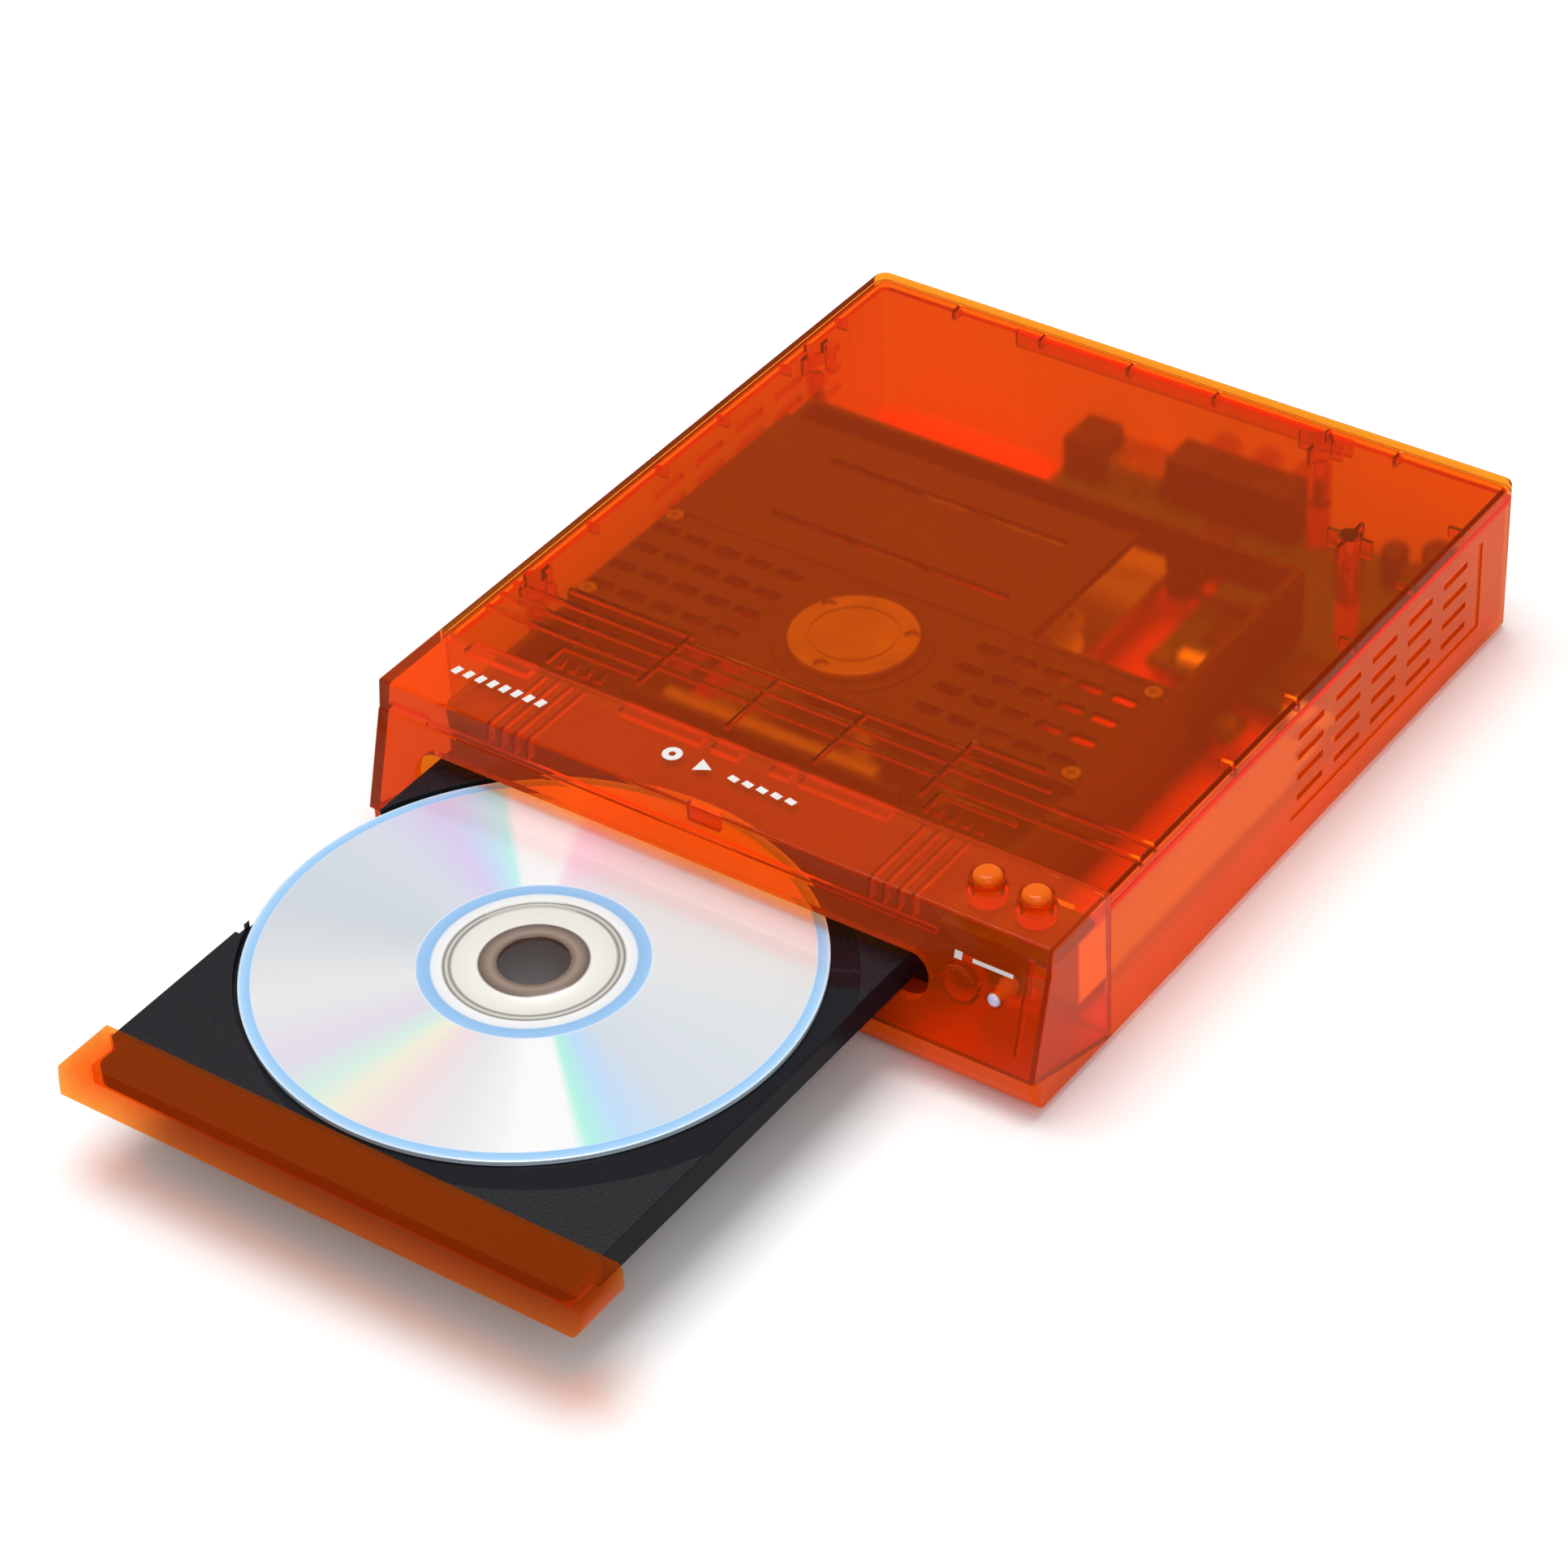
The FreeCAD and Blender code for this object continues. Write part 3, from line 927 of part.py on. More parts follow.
def make_end_switch():
    body = box(20.0, 26.0, 141.0, 147.6, DECK_Z1 + 0.02, 16.8)
    lever = prism_z([(22.0, 141.2), (22.8, 141.2), (25.4, 137.0), (24.8, 136.6)], 14.6, 16.2)
    return join([body, lever])



PARTS = {
    "bottom_shell": make_bottom_shell,
    "top_cover": make_top_cover,
    "front_bezel": make_front_bezel,
    "rubber_feet": make_feet,
    "case_screws": lambda: group([screw(x, y, 2.9, 24.0, 1.1, 2.3, 1.3, up=True) for x, y in BOSSES]),
    "play_button": lambda: make_button(BUTTON_XS[0]),
    "eject_button": lambda: make_button(BUTTON_XS[1]),
    "tray": make_tray,
    "tray_door": make_tray_door,
    "disc": make_disc,
    "loader_chassis": make_loader_chassis,
    "clamp_bridge": make_bridge,
    "clamp_puck": make_clamp_puck,
    "clamp_magnet": make_clamp_magnet,
    "loader_screws": lambda: group([screw(x, y, DECK_Z1, 8.0) for x, y in TABS]),
    "bridge_screws": lambda: group([screw(x, y, LOADER_TOP + BRIDGE_T, 4.6, 1.0, 2.0, 1.1)
                                    for x, y in BRIDGE_SCREWS]),
    "loading_motor": make_loading_motor,
    "motor_pulley": make_motor_pulley,
    "drive_belt": make_drive_belt,
    "pulley_gear": make_pulley_gear,
    "drive_gear": make_drive_gear,
    "lift_cam": make_lift_cam,
    "traverse_frame": make_traverse_frame,
    "pivot_bushes": make_bushes,
    "spindle_motor": make_spindle_motor,
    "turntable": make_turntable,
    "guide_rods": make_guide_rods,
    "pickup_sled": make_pickup_sled,
    "pickup_lens": make_pickup_lens,
    "sled_motor": make_sled_motor,
    "sled_gear": make_sled_gear,
    "sled_pinion": make_sled_pinion,
    "main_board": make_main_board,
    "processor_chip": make_processor_chip,
    "memory_chips": make_memory_chips,
    "capacitors": make_capacitors,
    "cable_connectors": make_connectors,
    "board_screws": lambda: group([screw(x, y, BOARD_Z + BOARD_T, 4.4, 1.0, 1.9, 1.1)
                                   for x, y in BOARD_SCREWS]),
    "power_inlet": make_power_inlet,
    "video_socket": make_video_socket,
    "jack_block": make_jack_block,
    "jack_barrels": make_jack_barrels,
    "jack_insulators": make_jack_insulators,
    "key_board": make_key_board,
    "tact_switches": make_tact_switches,
    "standby_led": make_standby_led,
    "ir_receiver": make_ir_receiver,
    "front_cable": make_front_cable,
    "end_switch": make_end_switch,
}

os.makedirs(OUT, exist_ok=True)
shapes = {name: make() for name, make in PARTS.items()}
rest_front = min(shape.BoundBox.YMin for shape in shapes.values())
rest_back = max(shape.BoundBox.YMax for shape in shapes.values())
SHIFT.y = -(rest_front + rest_back) / 2.0
for name, shape in shapes.items():
    shape.translate(SHIFT)
    shape.exportStep(os.path.join(OUT, name + ".step"))
    size = shape.BoundBox
    print("%-18s solids %2d valid %s volume %9.1f  %7.2f %7.2f %7.2f  %7.2f %7.2f %7.2f"
          % (name, len(shape.Solids), shape.isValid(), shape.Volume, size.XMin, size.YMin, size.ZMin,
             size.XMax, size.YMax, size.ZMax))
print("shift", SHIFT)
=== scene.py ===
import math

import bpy
from mathutils import Matrix, Vector


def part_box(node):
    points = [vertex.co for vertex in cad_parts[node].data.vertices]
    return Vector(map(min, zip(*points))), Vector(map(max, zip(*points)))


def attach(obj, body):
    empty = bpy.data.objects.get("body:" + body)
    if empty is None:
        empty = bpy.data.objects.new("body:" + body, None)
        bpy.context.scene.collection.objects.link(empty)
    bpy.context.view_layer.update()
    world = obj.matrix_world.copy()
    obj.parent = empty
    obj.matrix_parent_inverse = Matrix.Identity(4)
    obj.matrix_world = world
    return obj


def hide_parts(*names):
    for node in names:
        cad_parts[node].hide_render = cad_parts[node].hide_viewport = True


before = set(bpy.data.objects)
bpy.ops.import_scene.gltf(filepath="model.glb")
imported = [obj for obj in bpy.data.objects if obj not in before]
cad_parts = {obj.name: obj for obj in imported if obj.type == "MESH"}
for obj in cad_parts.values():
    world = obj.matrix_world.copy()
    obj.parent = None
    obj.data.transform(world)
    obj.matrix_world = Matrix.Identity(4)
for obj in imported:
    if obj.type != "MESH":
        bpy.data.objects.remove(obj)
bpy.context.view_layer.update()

# Bottom shell. A deep tray moulded in see-through orange plastic about 2 mm thick, with a
# sloping chin at the front, vent slots in both sides and posts for the loader and the board.
# Light that crosses a wall is tinted; the plastic's haze and its polished skin catch the rest.
SHELL_TINT = (0.97, 0.70, 0.16, 1.0)
SHELL_BODY = (0.96, 0.115, 0.001, 1.0)
SHELL_DEPTH_TINT = (1.0, 0.34, 0.04, 1.0)


def orange_plastic(name, tint, body, haze, edge_haze, rough, density, frost=0.0, gloss=0.12):
    """Moulded see-through plastic: tinted where light crosses it, with a hazy, polished skin.

    haze and edge_haze are the skin's share seen square on and edge on, and density is how fast the
    depth of plastic absorbs light. frost is how much the surface blurs what is behind it; the
    lamps light what is inside all the same.
    """
    mat = bpy.data.materials.new(name)
    mat.use_nodes = True
    nodes, links = mat.node_tree.nodes, mat.node_tree.links
    skin = nodes["Principled BSDF"]
    out = nodes["Material Output"]
    place = nodes.new("ShaderNodeTexCoord")
    flow = nodes.new("ShaderNodeTexNoise")
    flow.inputs["Scale"].default_value = 26.0
    flow.inputs["Detail"].default_value = 3.0
    colour = nodes.new("ShaderNodeMix")
    colour.data_type = "RGBA"
    colour.inputs[6].default_value = tuple(c * 0.9 for c in body[:3]) + (1.0,)
    colour.inputs[7].default_value = tuple(min(1.0, c * 1.12) for c in body[:3]) + (1.0,)
    grain = nodes.new("ShaderNodeTexNoise")
    grain.inputs["Scale"].default_value = 900.0
    grain.inputs["Detail"].default_value = 2.0
    bump = nodes.new("ShaderNodeBump")
    bump.inputs["Strength"].default_value = 0.12
    bump.inputs["Distance"].default_value = 0.0002
    sheen = nodes.new("ShaderNodeMapRange")
    sheen.inputs["To Min"].default_value = rough * 0.8
    sheen.inputs["To Max"].default_value = rough * 1.25
    see = nodes.new("ShaderNodeBsdfTransparent")
    see.inputs["Color"].default_value = tint
    blur = nodes.new("ShaderNodeBsdfRefraction")
    blur.inputs["Color"].default_value = tint
    blur.inputs["Roughness"].default_value = frost
    blur.inputs["IOR"].default_value = 1.15
    ray = nodes.new("ShaderNodeLightPath")
    through = nodes.new("ShaderNodeMixShader")
    edge = nodes.new("ShaderNodeLayerWeight")
    edge.inputs["Blend"].default_value = 0.35
    share = nodes.new("ShaderNodeMapRange")
    share.inputs["To Min"].default_value = haze
    share.inputs["To Max"].default_value = edge_haze
    mix = nodes.new("ShaderNodeMixShader")
    deep = nodes.new("ShaderNodeVolumeAbsorption")
    deep.inputs["Color"].default_value = SHELL_DEPTH_TINT
    deep.inputs["Density"].default_value = density
    skin.inputs["Specular IOR Level"].default_value = gloss
    skin.inputs["Coat Weight"].default_value = gloss
    skin.inputs["Coat Roughness"].default_value = 0.04
    links.new(place.outputs["Object"], flow.inputs["Vector"])
    links.new(place.outputs["Object"], grain.inputs["Vector"])
    links.new(flow.outputs["Fac"], colour.inputs[0])
    links.new(colour.outputs[2], skin.inputs["Base Color"])
    links.new(grain.outputs["Fac"], bump.inputs["Height"])
    links.new(bump.outputs["Normal"], skin.inputs["Normal"])
    links.new(flow.outputs["Fac"], sheen.inputs["Value"])
    links.new(sheen.outputs["Result"], skin.inputs["Roughness"])
    links.new(edge.outputs["Facing"], share.inputs["Value"])
    links.new(share.outputs["Result"], mix.inputs["Fac"])
    if frost:
        links.new(ray.outputs["Is Shadow Ray"], through.inputs["Fac"])
        links.new(blur.outputs["BSDF"], through.inputs[1])
        links.new(see.outputs["BSDF"], through.inputs[2])
        links.new(through.outputs["Shader"], mix.inputs[1])
    else:
        links.new(see.outputs["BSDF"], mix.inputs[1])
    links.new(skin.outputs["BSDF"], mix.inputs[2])
    links.new(mix.outputs["Shader"], out.inputs["Surface"])
    links.new(deep.outputs["Volume"], out.inputs["Volume"])
    return mat


def dress(material, *nodes):
    """Put one finish on CAD nodes."""
    for node in nodes:
        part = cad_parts[node]
        part.data.materials.clear()
        part.data.materials.append(material)


def ease(width, *nodes):
    """Break the sharp edges of CAD nodes with a small moulding radius."""
    for node in nodes:
        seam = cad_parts[node].modifiers.new("seam", "WELD")
        seam.merge_threshold = 0.000005
        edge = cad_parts[node].modifiers.new("edge", "BEVEL")
        edge.width = width
        edge.segments = 2
        edge.limit_method = "ANGLE"
        edge.angle_limit = math.radians(40)


dress(orange_plastic("bottom_shell_plastic", SHELL_TINT, SHELL_BODY, 0.44, 0.72, 0.20, 90.0, frost=0.18),
      "bottom_shell")
ease(0.00030, "bottom_shell")

# Feet. Four soft black rubber pads pressed into the bottom shell, matt and slightly dusty.
FOOT_BLACK = (0.022, 0.021, 0.020, 1.0)


def moulding(name, colour, rough, grain, relief, metal=0.0, spread=0.12, coat=0.0, stretch=(1.0, 1.0, 1.0)):
    """Solid finish: a fine grain that varies the colour, the gloss and the surface's relief."""
    mat = bpy.data.materials.new(name)
    mat.use_nodes = True
    nodes, links = mat.node_tree.nodes, mat.node_tree.links
    skin = nodes["Principled BSDF"]
    place = nodes.new("ShaderNodeTexCoord")
    turn = nodes.new("ShaderNodeMapping")
    turn.inputs["Scale"].default_value = stretch
    fine = nodes.new("ShaderNodeTexNoise")
    fine.inputs["Scale"].default_value = grain
    fine.inputs["Detail"].default_value = 4.0
    shade = nodes.new("ShaderNodeMix")
    shade.data_type = "RGBA"
    shade.inputs[6].default_value = tuple(c * (1.0 - spread) for c in colour[:3]) + (1.0,)
    shade.inputs[7].default_value = tuple(min(1.0, c * (1.0 + spread)) for c in colour[:3]) + (1.0,)
    gloss = nodes.new("ShaderNodeMapRange")
    gloss.inputs["To Min"].default_value = max(0.02, rough - 0.08)
    gloss.inputs["To Max"].default_value = min(1.0, rough + 0.08)
    bump = nodes.new("ShaderNodeBump")
    bump.inputs["Strength"].default_value = relief
    bump.inputs["Distance"].default_value = 0.0002
    skin.inputs["Metallic"].default_value = metal
    skin.inputs["Coat Weight"].default_value = coat
    links.new(place.outputs["Object"], turn.inputs["Vector"])
    links.new(turn.outputs["Vector"], fine.inputs["Vector"])
    links.new(fine.outputs["Fac"], shade.inputs[0])
    links.new(shade.outputs[2], skin.inputs["Base Color"])
    links.new(fine.outputs["Fac"], gloss.inputs["Value"])
    links.new(gloss.outputs["Result"], skin.inputs["Roughness"])
    links.new(fine.outputs["Fac"], bump.inputs["Height"])
    links.new(bump.outputs["Normal"], skin.inputs["Normal"])
    return mat


dress(moulding("foot_rubber", FOOT_BLACK, 0.85, 1500.0, 0.4), "rubber_feet")

# Main board. Green glass-fibre board with copper traces under the solder mask, carrying a
# large processor, two memory chips, five capacitors and two cable connectors.
MASK_GREEN = (0.012, 0.045, 0.020, 1.0)
TRACE_GREEN = (0.030, 0.100, 0.045, 1.0)

board = bpy.data.materials.new("board_solder_mask")
board.use_nodes = True
nodes, links = board.node_tree.nodes, board.node_tree.links
skin = nodes["Principled BSDF"]
place = nodes.new("ShaderNodeTexCoord")
tracks = nodes.new("ShaderNodeTexBrick")
tracks.inputs["Scale"].default_value = 190.0
tracks.inputs["Mortar Size"].default_value = 0.09
tracks.inputs["Brick Width"].default_value = 1.7
tracks.inputs["Color1"].default_value = MASK_GREEN
tracks.inputs["Color2"].default_value = tuple(c * 1.4 for c in MASK_GREEN[:3]) + (1.0,)
tracks.inputs["Mortar"].default_value = TRACE_GREEN
relief = nodes.new("ShaderNodeBump")
relief.inputs["Strength"].default_value = 0.3
relief.inputs["Distance"].default_value = 0.0001
skin.inputs["Roughness"].default_value = 0.32
skin.inputs["Coat Weight"].default_value = 0.3
links.new(place.outputs["Object"], tracks.inputs["Vector"])
links.new(tracks.outputs["Color"], skin.inputs["Base Color"])
links.new(tracks.outputs["Fac"], relief.inputs["Height"])
links.new(relief.outputs["Normal"], skin.inputs["Normal"])
dress(board, "main_board", "key_board")
dress(moulding("chip_epoxy", (0.018, 0.018, 0.020, 1.0), 0.55, 1800.0, 0.3), "processor_chip", "memory_chips")
dress(moulding("capacitor_sleeve", (0.020, 0.022, 0.045, 1.0), 0.25, 400.0, 0.1, coat=0.5), "capacitors")
dress(moulding("connector_nylon", (0.78, 0.72, 0.58, 1.0), 0.45, 700.0, 0.15), "cable_connectors")
dress(moulding("cable_film", (0.80, 0.79, 0.76, 1.0), 0.35, 60.0, 0.1, stretch=(40.0, 1.0, 1.0)),
      "front_cable")

# Rear sockets. A black block with three plated phono barrels and coloured inner rings, a
# folded steel video socket and a black barrel inlet, all soldered to the board's rear edge.
SOCKET_STEEL = (0.62, 0.62, 0.63, 1.0)
BARREL_GOLD = (0.83, 0.62, 0.26, 1.0)

dress(moulding("jack_block_plastic", (0.018, 0.018, 0.018, 1.0), 0.45, 900.0, 0.25), "jack_block")
dress(moulding("power_inlet_plastic", (0.020, 0.020, 0.020, 1.0), 0.40, 900.0, 0.25), "power_inlet")
dress(moulding("video_socket_steel", SOCKET_STEEL, 0.28, 500.0, 0.1, metal=1.0, stretch=(1, 6, 1)),
      "video_socket")
dress(moulding("jack_barrel_plate", BARREL_GOLD, 0.20, 600.0, 0.08, metal=1.0, stretch=(1, 8, 1)),
      "jack_barrels")

rings = moulding("jack_insulators_plastic", (0.85, 0.85, 0.82, 1.0), 0.35, 500.0, 0.1)
nodes, links = rings.node_tree.nodes, rings.node_tree.links
low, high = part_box("jack_insulators")
across = nodes.new("ShaderNodeSeparateXYZ")
order = nodes.new("ShaderNodeMapRange")
order.inputs["From Min"].default_value = low[0]
order.inputs["From Max"].default_value = high[0]
hues = nodes.new("ShaderNodeValToRGB")
hues.color_ramp.interpolation = "CONSTANT"
hues.color_ramp.elements[0].color = (0.80, 0.58, 0.03, 1.0)
hues.color_ramp.elements[1].position = 0.36
hues.color_ramp.elements[1].color = (0.80, 0.79, 0.76, 1.0)
third = hues.color_ramp.elements.new(0.66)
third.color = (0.55, 0.02, 0.02, 1.0)
links.new(nodes["Texture Coordinate"].outputs["Object"], across.inputs[0])
links.new(across.outputs["X"], order.inputs["Value"])
links.new(order.outputs["Result"], hues.inputs["Fac"])
links.new(hues.outputs["Color"], nodes["Principled BSDF"].inputs["Base Color"])
dress(rings, "jack_insulators")

# Traverse. A stamped steel frame on rubber bushes, with the spindle motor, its turntable, two
# ground rods and the pickup, which a small motor drives along them through nylon gears.
FRAME_STEEL = (0.50, 0.50, 0.51, 1.0)
NYLON = (0.78, 0.76, 0.68, 1.0)

steel = moulding("stamped_steel", FRAME_STEEL, 0.36, 260.0, 0.15, metal=1.0, stretch=(1.0, 9.0, 1.0))
dress(steel, "traverse_frame")
dress(moulding("motor_can_steel", (0.58, 0.58, 0.59, 1.0), 0.26, 300.0, 0.1, metal=1.0, stretch=(1, 1, 12)),
      "spindle_motor", "sled_motor", "loading_motor")
dress(moulding("turntable_plastic", (0.020, 0.020, 0.022, 1.0), 0.42, 900.0, 0.2), "turntable")
dress(moulding("rod_steel", (0.80, 0.80, 0.81, 1.0), 0.10, 900.0, 0.05, metal=1.0), "guide_rods")
dress(moulding("pickup_sled_plastic", (0.022, 0.022, 0.024, 1.0), 0.5, 1100.0, 0.3), "pickup_sled")
dress(moulding("pickup_lens_glass", (0.16, 0.15, 0.42, 1.0), 0.05, 200.0, 0.02, coat=1.0), "pickup_lens")
dress(moulding("bush_rubber", (0.030, 0.030, 0.032, 1.0), 0.8, 900.0, 0.3), "pivot_bushes")
nylon = moulding("gear_nylon", NYLON, 0.38, 700.0, 0.12)
dress(nylon, "sled_gear", "sled_pinion", "drive_gear", "pulley_gear", "motor_pulley")

# Loader. A black moulded chassis that guides the tray, with the belt drive at its front, the
# grey lift cam across it and an end switch at the back.
LOADER_BLACK = (0.020, 0.018, 0.018, 1.0)

dress(moulding("loader_plastic", LOADER_BLACK, 0.46, 800.0, 0.25), "loader_chassis")
ease(0.00020, "loader_chassis", "lift_cam")
dress(moulding("cam_acetal", (0.30, 0.31, 0.33, 1.0), 0.40, 700.0, 0.15), "lift_cam")
dress(moulding("belt_rubber", (0.016, 0.016, 0.016, 1.0), 0.75, 1200.0, 0.3), "drive_belt")
dress(moulding("switch_plastic", (0.025, 0.025, 0.028, 1.0), 0.5, 900.0, 0.2), "end_switch", "tact_switches")

# Clamp. A black slotted bridge across the loader holds a white puck with a magnet in it, which
# clamps the disc onto the turntable.
dress(moulding("bridge_plastic", LOADER_BLACK, 0.42, 800.0, 0.25), "clamp_bridge")
dress(moulding("puck_acetal", (0.22, 0.20, 0.17, 1.0), 0.35, 90.0, 0.12, spread=0.5), "clamp_puck")
ease(0.00015, "clamp_bridge")
dress(moulding("magnet_plate", (0.42, 0.42, 0.43, 1.0), 0.3, 500.0, 0.1, metal=1.0), "clamp_magnet")

# Screws. Zinc-plated cross-head screws for the case, the loader, the bridge and the board.
dress(moulding("screw_zinc", (0.55, 0.55, 0.54, 1.0), 0.3, 900.0, 0.15, metal=1.0),
      "case_screws", "loader_screws", "bridge_screws", "board_screws")

# Signals. A diffused lamp and a dark receiver window stand behind the panel's right end.
dress(moulding("lamp_diffuser", (0.52, 0.46, 0.62, 1.0), 0.15, 500.0, 0.05, coat=0.8), "standby_led")
dress(moulding("receiver_window", (0.035, 0.012, 0.020, 1.0), 0.12, 400.0, 0.05, coat=1.0), "ir_receiver")

# Front bezel. One moulding of polished orange plastic: a top strip, the sloping front panel
# with the tray's slot, two side cheeks, and ribs and tongues on its inner faces.
BEZEL_TINT = (0.97, 0.70, 0.18, 1.0)
BEZEL_BODY = (0.98, 0.115, 0.001, 1.0)

dress(orange_plastic("bezel_plastic", BEZEL_TINT, BEZEL_BODY, 0.10, 0.55, 0.08, 300.0,
                     frost=0.11, gloss=0.45), "front_bezel")
ease(0.00035, "front_bezel")

# Buttons. Two short domed push buttons in the same orange plastic, polished, in raised collars.
BUTTON_TINT = (0.98, 0.72, 0.30, 1.0)
BUTTON_BODY = (1.0, 0.17, 0.003, 1.0)

dress(orange_plastic("button_plastic", BUTTON_TINT, BUTTON_BODY, 0.55, 0.80, 0.05, 60.0, gloss=0.2),
      "play_button", "eject_button")

# Tray. Black plastic with a fine matt texture on its top and polished side walls, with the
# disc's recess and its own drive rack moulded in.
TRAY_BLACK = (0.007, 0.007, 0.010, 1.0)

tray_finish = moulding("tray_plastic", TRAY_BLACK, 0.27, 2400.0, 0.45, spread=0.25)
nodes, links = tray_finish.node_tree.nodes, tray_finish.node_tree.links
skin, bump, gloss = nodes["Principled BSDF"], nodes["Bump"], nodes["Map Range"]
tray_side, _, tray_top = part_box("tray")[1]
# painted shade: the tray's right side face reflects far less than the rest, which keeps that side nearly
# black
across = nodes.new("ShaderNodeSeparateXYZ")
sheen = nodes.new("ShaderNodeMapRange")
sheen.inputs["From Min"].default_value = tray_side - 0.0004
sheen.inputs["From Max"].default_value = tray_side - 0.0001
sheen.inputs["To Min"].default_value = 0.22
sheen.inputs["To Max"].default_value = 0.03
links.new(nodes["Texture Coordinate"].outputs["Object"], across.inputs[0])
links.new(across.outputs["X"], sheen.inputs["Value"])
links.new(sheen.outputs["Result"], skin.inputs["Specular IOR Level"])
# only the tray's upper face is textured; everything below it is polished
for polished, inlet in ((0.06, skin.inputs["Roughness"]), (0.0, bump.inputs["Strength"])):
    level = nodes.new("ShaderNodeMapRange")
    level.inputs["From Min"].default_value = tray_top - 0.00025
    level.inputs["From Max"].default_value = tray_top - 0.00015
    level.inputs["To Min"].default_value = polished
    level.inputs["To Max"].default_value = bump.inputs["Strength"].default_value
    if inlet.name == "Roughness":
        links.new(gloss.outputs["Result"], level.inputs["To Max"])
    links.new(across.outputs["Z"], level.inputs["Value"])
    links.new(level.outputs["Result"], inlet)
dress(tray_finish, "tray")
ease(0.00020, "tray")

# Tray door. A clear orange bar clipped over the tray's front tongue, bevelled at its top edge.
DOOR_TINT = (0.97, 0.66, 0.26, 1.0)
DOOR_BODY = (1.0, 0.16, 0.002, 1.0)

dress(orange_plastic("door_plastic", DOOR_TINT, DOOR_BODY, 0.02, 0.36, 0.06, 160.0, gloss=0.5), "tray_door")
ease(0.00045, "tray_door")

# Top cover. A shallow lid of the same orange plastic with a very fine texture, screwed on from
# below through four long bosses, with stiffening ribs behind the front seam.
dress(orange_plastic("cover_plastic", SHELL_TINT, SHELL_BODY, 0.02, 0.34, 0.16, 110.0, frost=0.22, gloss=0.5),
      "top_cover")
ease(0.00030, "top_cover")

# Disc. A 120 mm disc of clear plastic with a mirror layer under its top face: blue bands at the rim and round
# the hub, a moulded stacking ring, and painted reflections: rainbow fans and white highlight wedges where its
# fine tracks catch light.
low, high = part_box("disc")
DISC_CENTRE = ((low[0] + high[0]) / 2, (low[1] + high[1]) / 2)
# the section's outline in millimetres: radius, then height, from the hole's lower edge round
DISC_PROFILE = (
    (7.50, 22.98), (7.50, 24.02), (7.58, 24.10), (11.30, 24.10), (11.45, 24.05), (17.10, 24.05),
    (17.25, 24.12), (17.60, 24.12), (17.75, 24.02), (18.50, 24.02), (18.65, 24.10), (59.80, 24.10),
    (60.00, 24.00), (60.00, 23.00), (59.80, 22.90), (7.70, 22.90),
)

bpy.ops.object.select_all(action="DESELECT")
bpy.ops.mesh.primitive_circle_add(vertices=160, radius=DISC_PROFILE[0][0] / 1000, fill_type="NOTHING",
                                  location=(*DISC_CENTRE, DISC_PROFILE[0][1] / 1000))
disc = bpy.context.object
disc.name = "disc_body"
bpy.ops.object.mode_set(mode="EDIT")
bpy.ops.mesh.select_all(action="SELECT")
for (r0, z0), (r1, z1) in zip(DISC_PROFILE, DISC_PROFILE[1:]):
    bpy.ops.mesh.extrude_region_move(TRANSFORM_OT_translate={"value": (0, 0, (z1 - z0) / 1000)})
    bpy.ops.transform.resize(value=(r1 / r0, r1 / r0, 1), center_override=(*DISC_CENTRE, 0))
bpy.ops.mesh.select_all(action="DESELECT")
bpy.ops.mesh.select_non_manifold()
bpy.ops.mesh.bridge_edge_loops()
bpy.ops.mesh.select_all(action="SELECT")
bpy.ops.mesh.normals_make_consistent(inside=False)
bpy.ops.object.mode_set(mode="OBJECT")
bpy.ops.object.transform_apply(location=True, rotation=True, scale=True)
bpy.ops.object.shade_smooth_by_angle(angle=math.radians(25))

mirror = bpy.data.materials.new("disc_layers")
mirror.use_nodes = True
nodes, links = mirror.node_tree.nodes, mirror.node_tree.links
skin = nodes["Principled BSDF"]
place = nodes.new("ShaderNodeTexCoord")
centre = nodes.new("ShaderNodeMapping")
centre.inputs["Location"].default_value = (-DISC_CENTRE[0], -DISC_CENTRE[1], 0)
split = nodes.new("ShaderNodeSeparateXYZ")
flat = nodes.new("ShaderNodeCombineXYZ")
reach = nodes.new("ShaderNodeVectorMath")
reach.operation = "LENGTH"
radius = nodes.new("ShaderNodeMapRange")
radius.inputs["From Max"].default_value = 0.060
bands = nodes.new("ShaderNodeValToRGB")
# bands: the radius in millimetres where each colour stands
BAND_STOPS = (
    (7.5, (0.13, 0.070, 0.045)), (9.0, (0.30, 0.22, 0.17)), (11.3, (0.10, 0.060, 0.042)),
    (11.7, (0.80, 0.78, 0.72)), (16.6, (0.72, 0.70, 0.64)), (17.2, (0.16, 0.14, 0.12)),
    (17.8, (0.70, 0.68, 0.62)), (18.4, (0.10, 0.09, 0.08)), (18.9, (0.82, 0.82, 0.80)),
    (20.9, (0.74, 0.76, 0.78)), (21.2, (0.24, 0.46, 0.74)), (23.8, (0.30, 0.52, 0.80)),
    (24.2, (0.86, 0.87, 0.90)), (57.2, (0.84, 0.86, 0.90)), (57.6, (0.27, 0.52, 0.82)),
    (59.3, (0.36, 0.60, 0.86)), (59.8, (0.62, 0.76, 0.88)),
)
ramp = bands.color_ramp
ramp.elements[0].position = BAND_STOPS[0][0] / 60
ramp.elements[0].color = (*BAND_STOPS[0][1], 1)
ramp.elements[1].position = BAND_STOPS[-1][0] / 60
ramp.elements[1].color = (*BAND_STOPS[-1][1], 1)
for stop, tone in BAND_STOPS[1:-1]:
    ramp.elements.new(stop / 60).color = (*tone, 1)
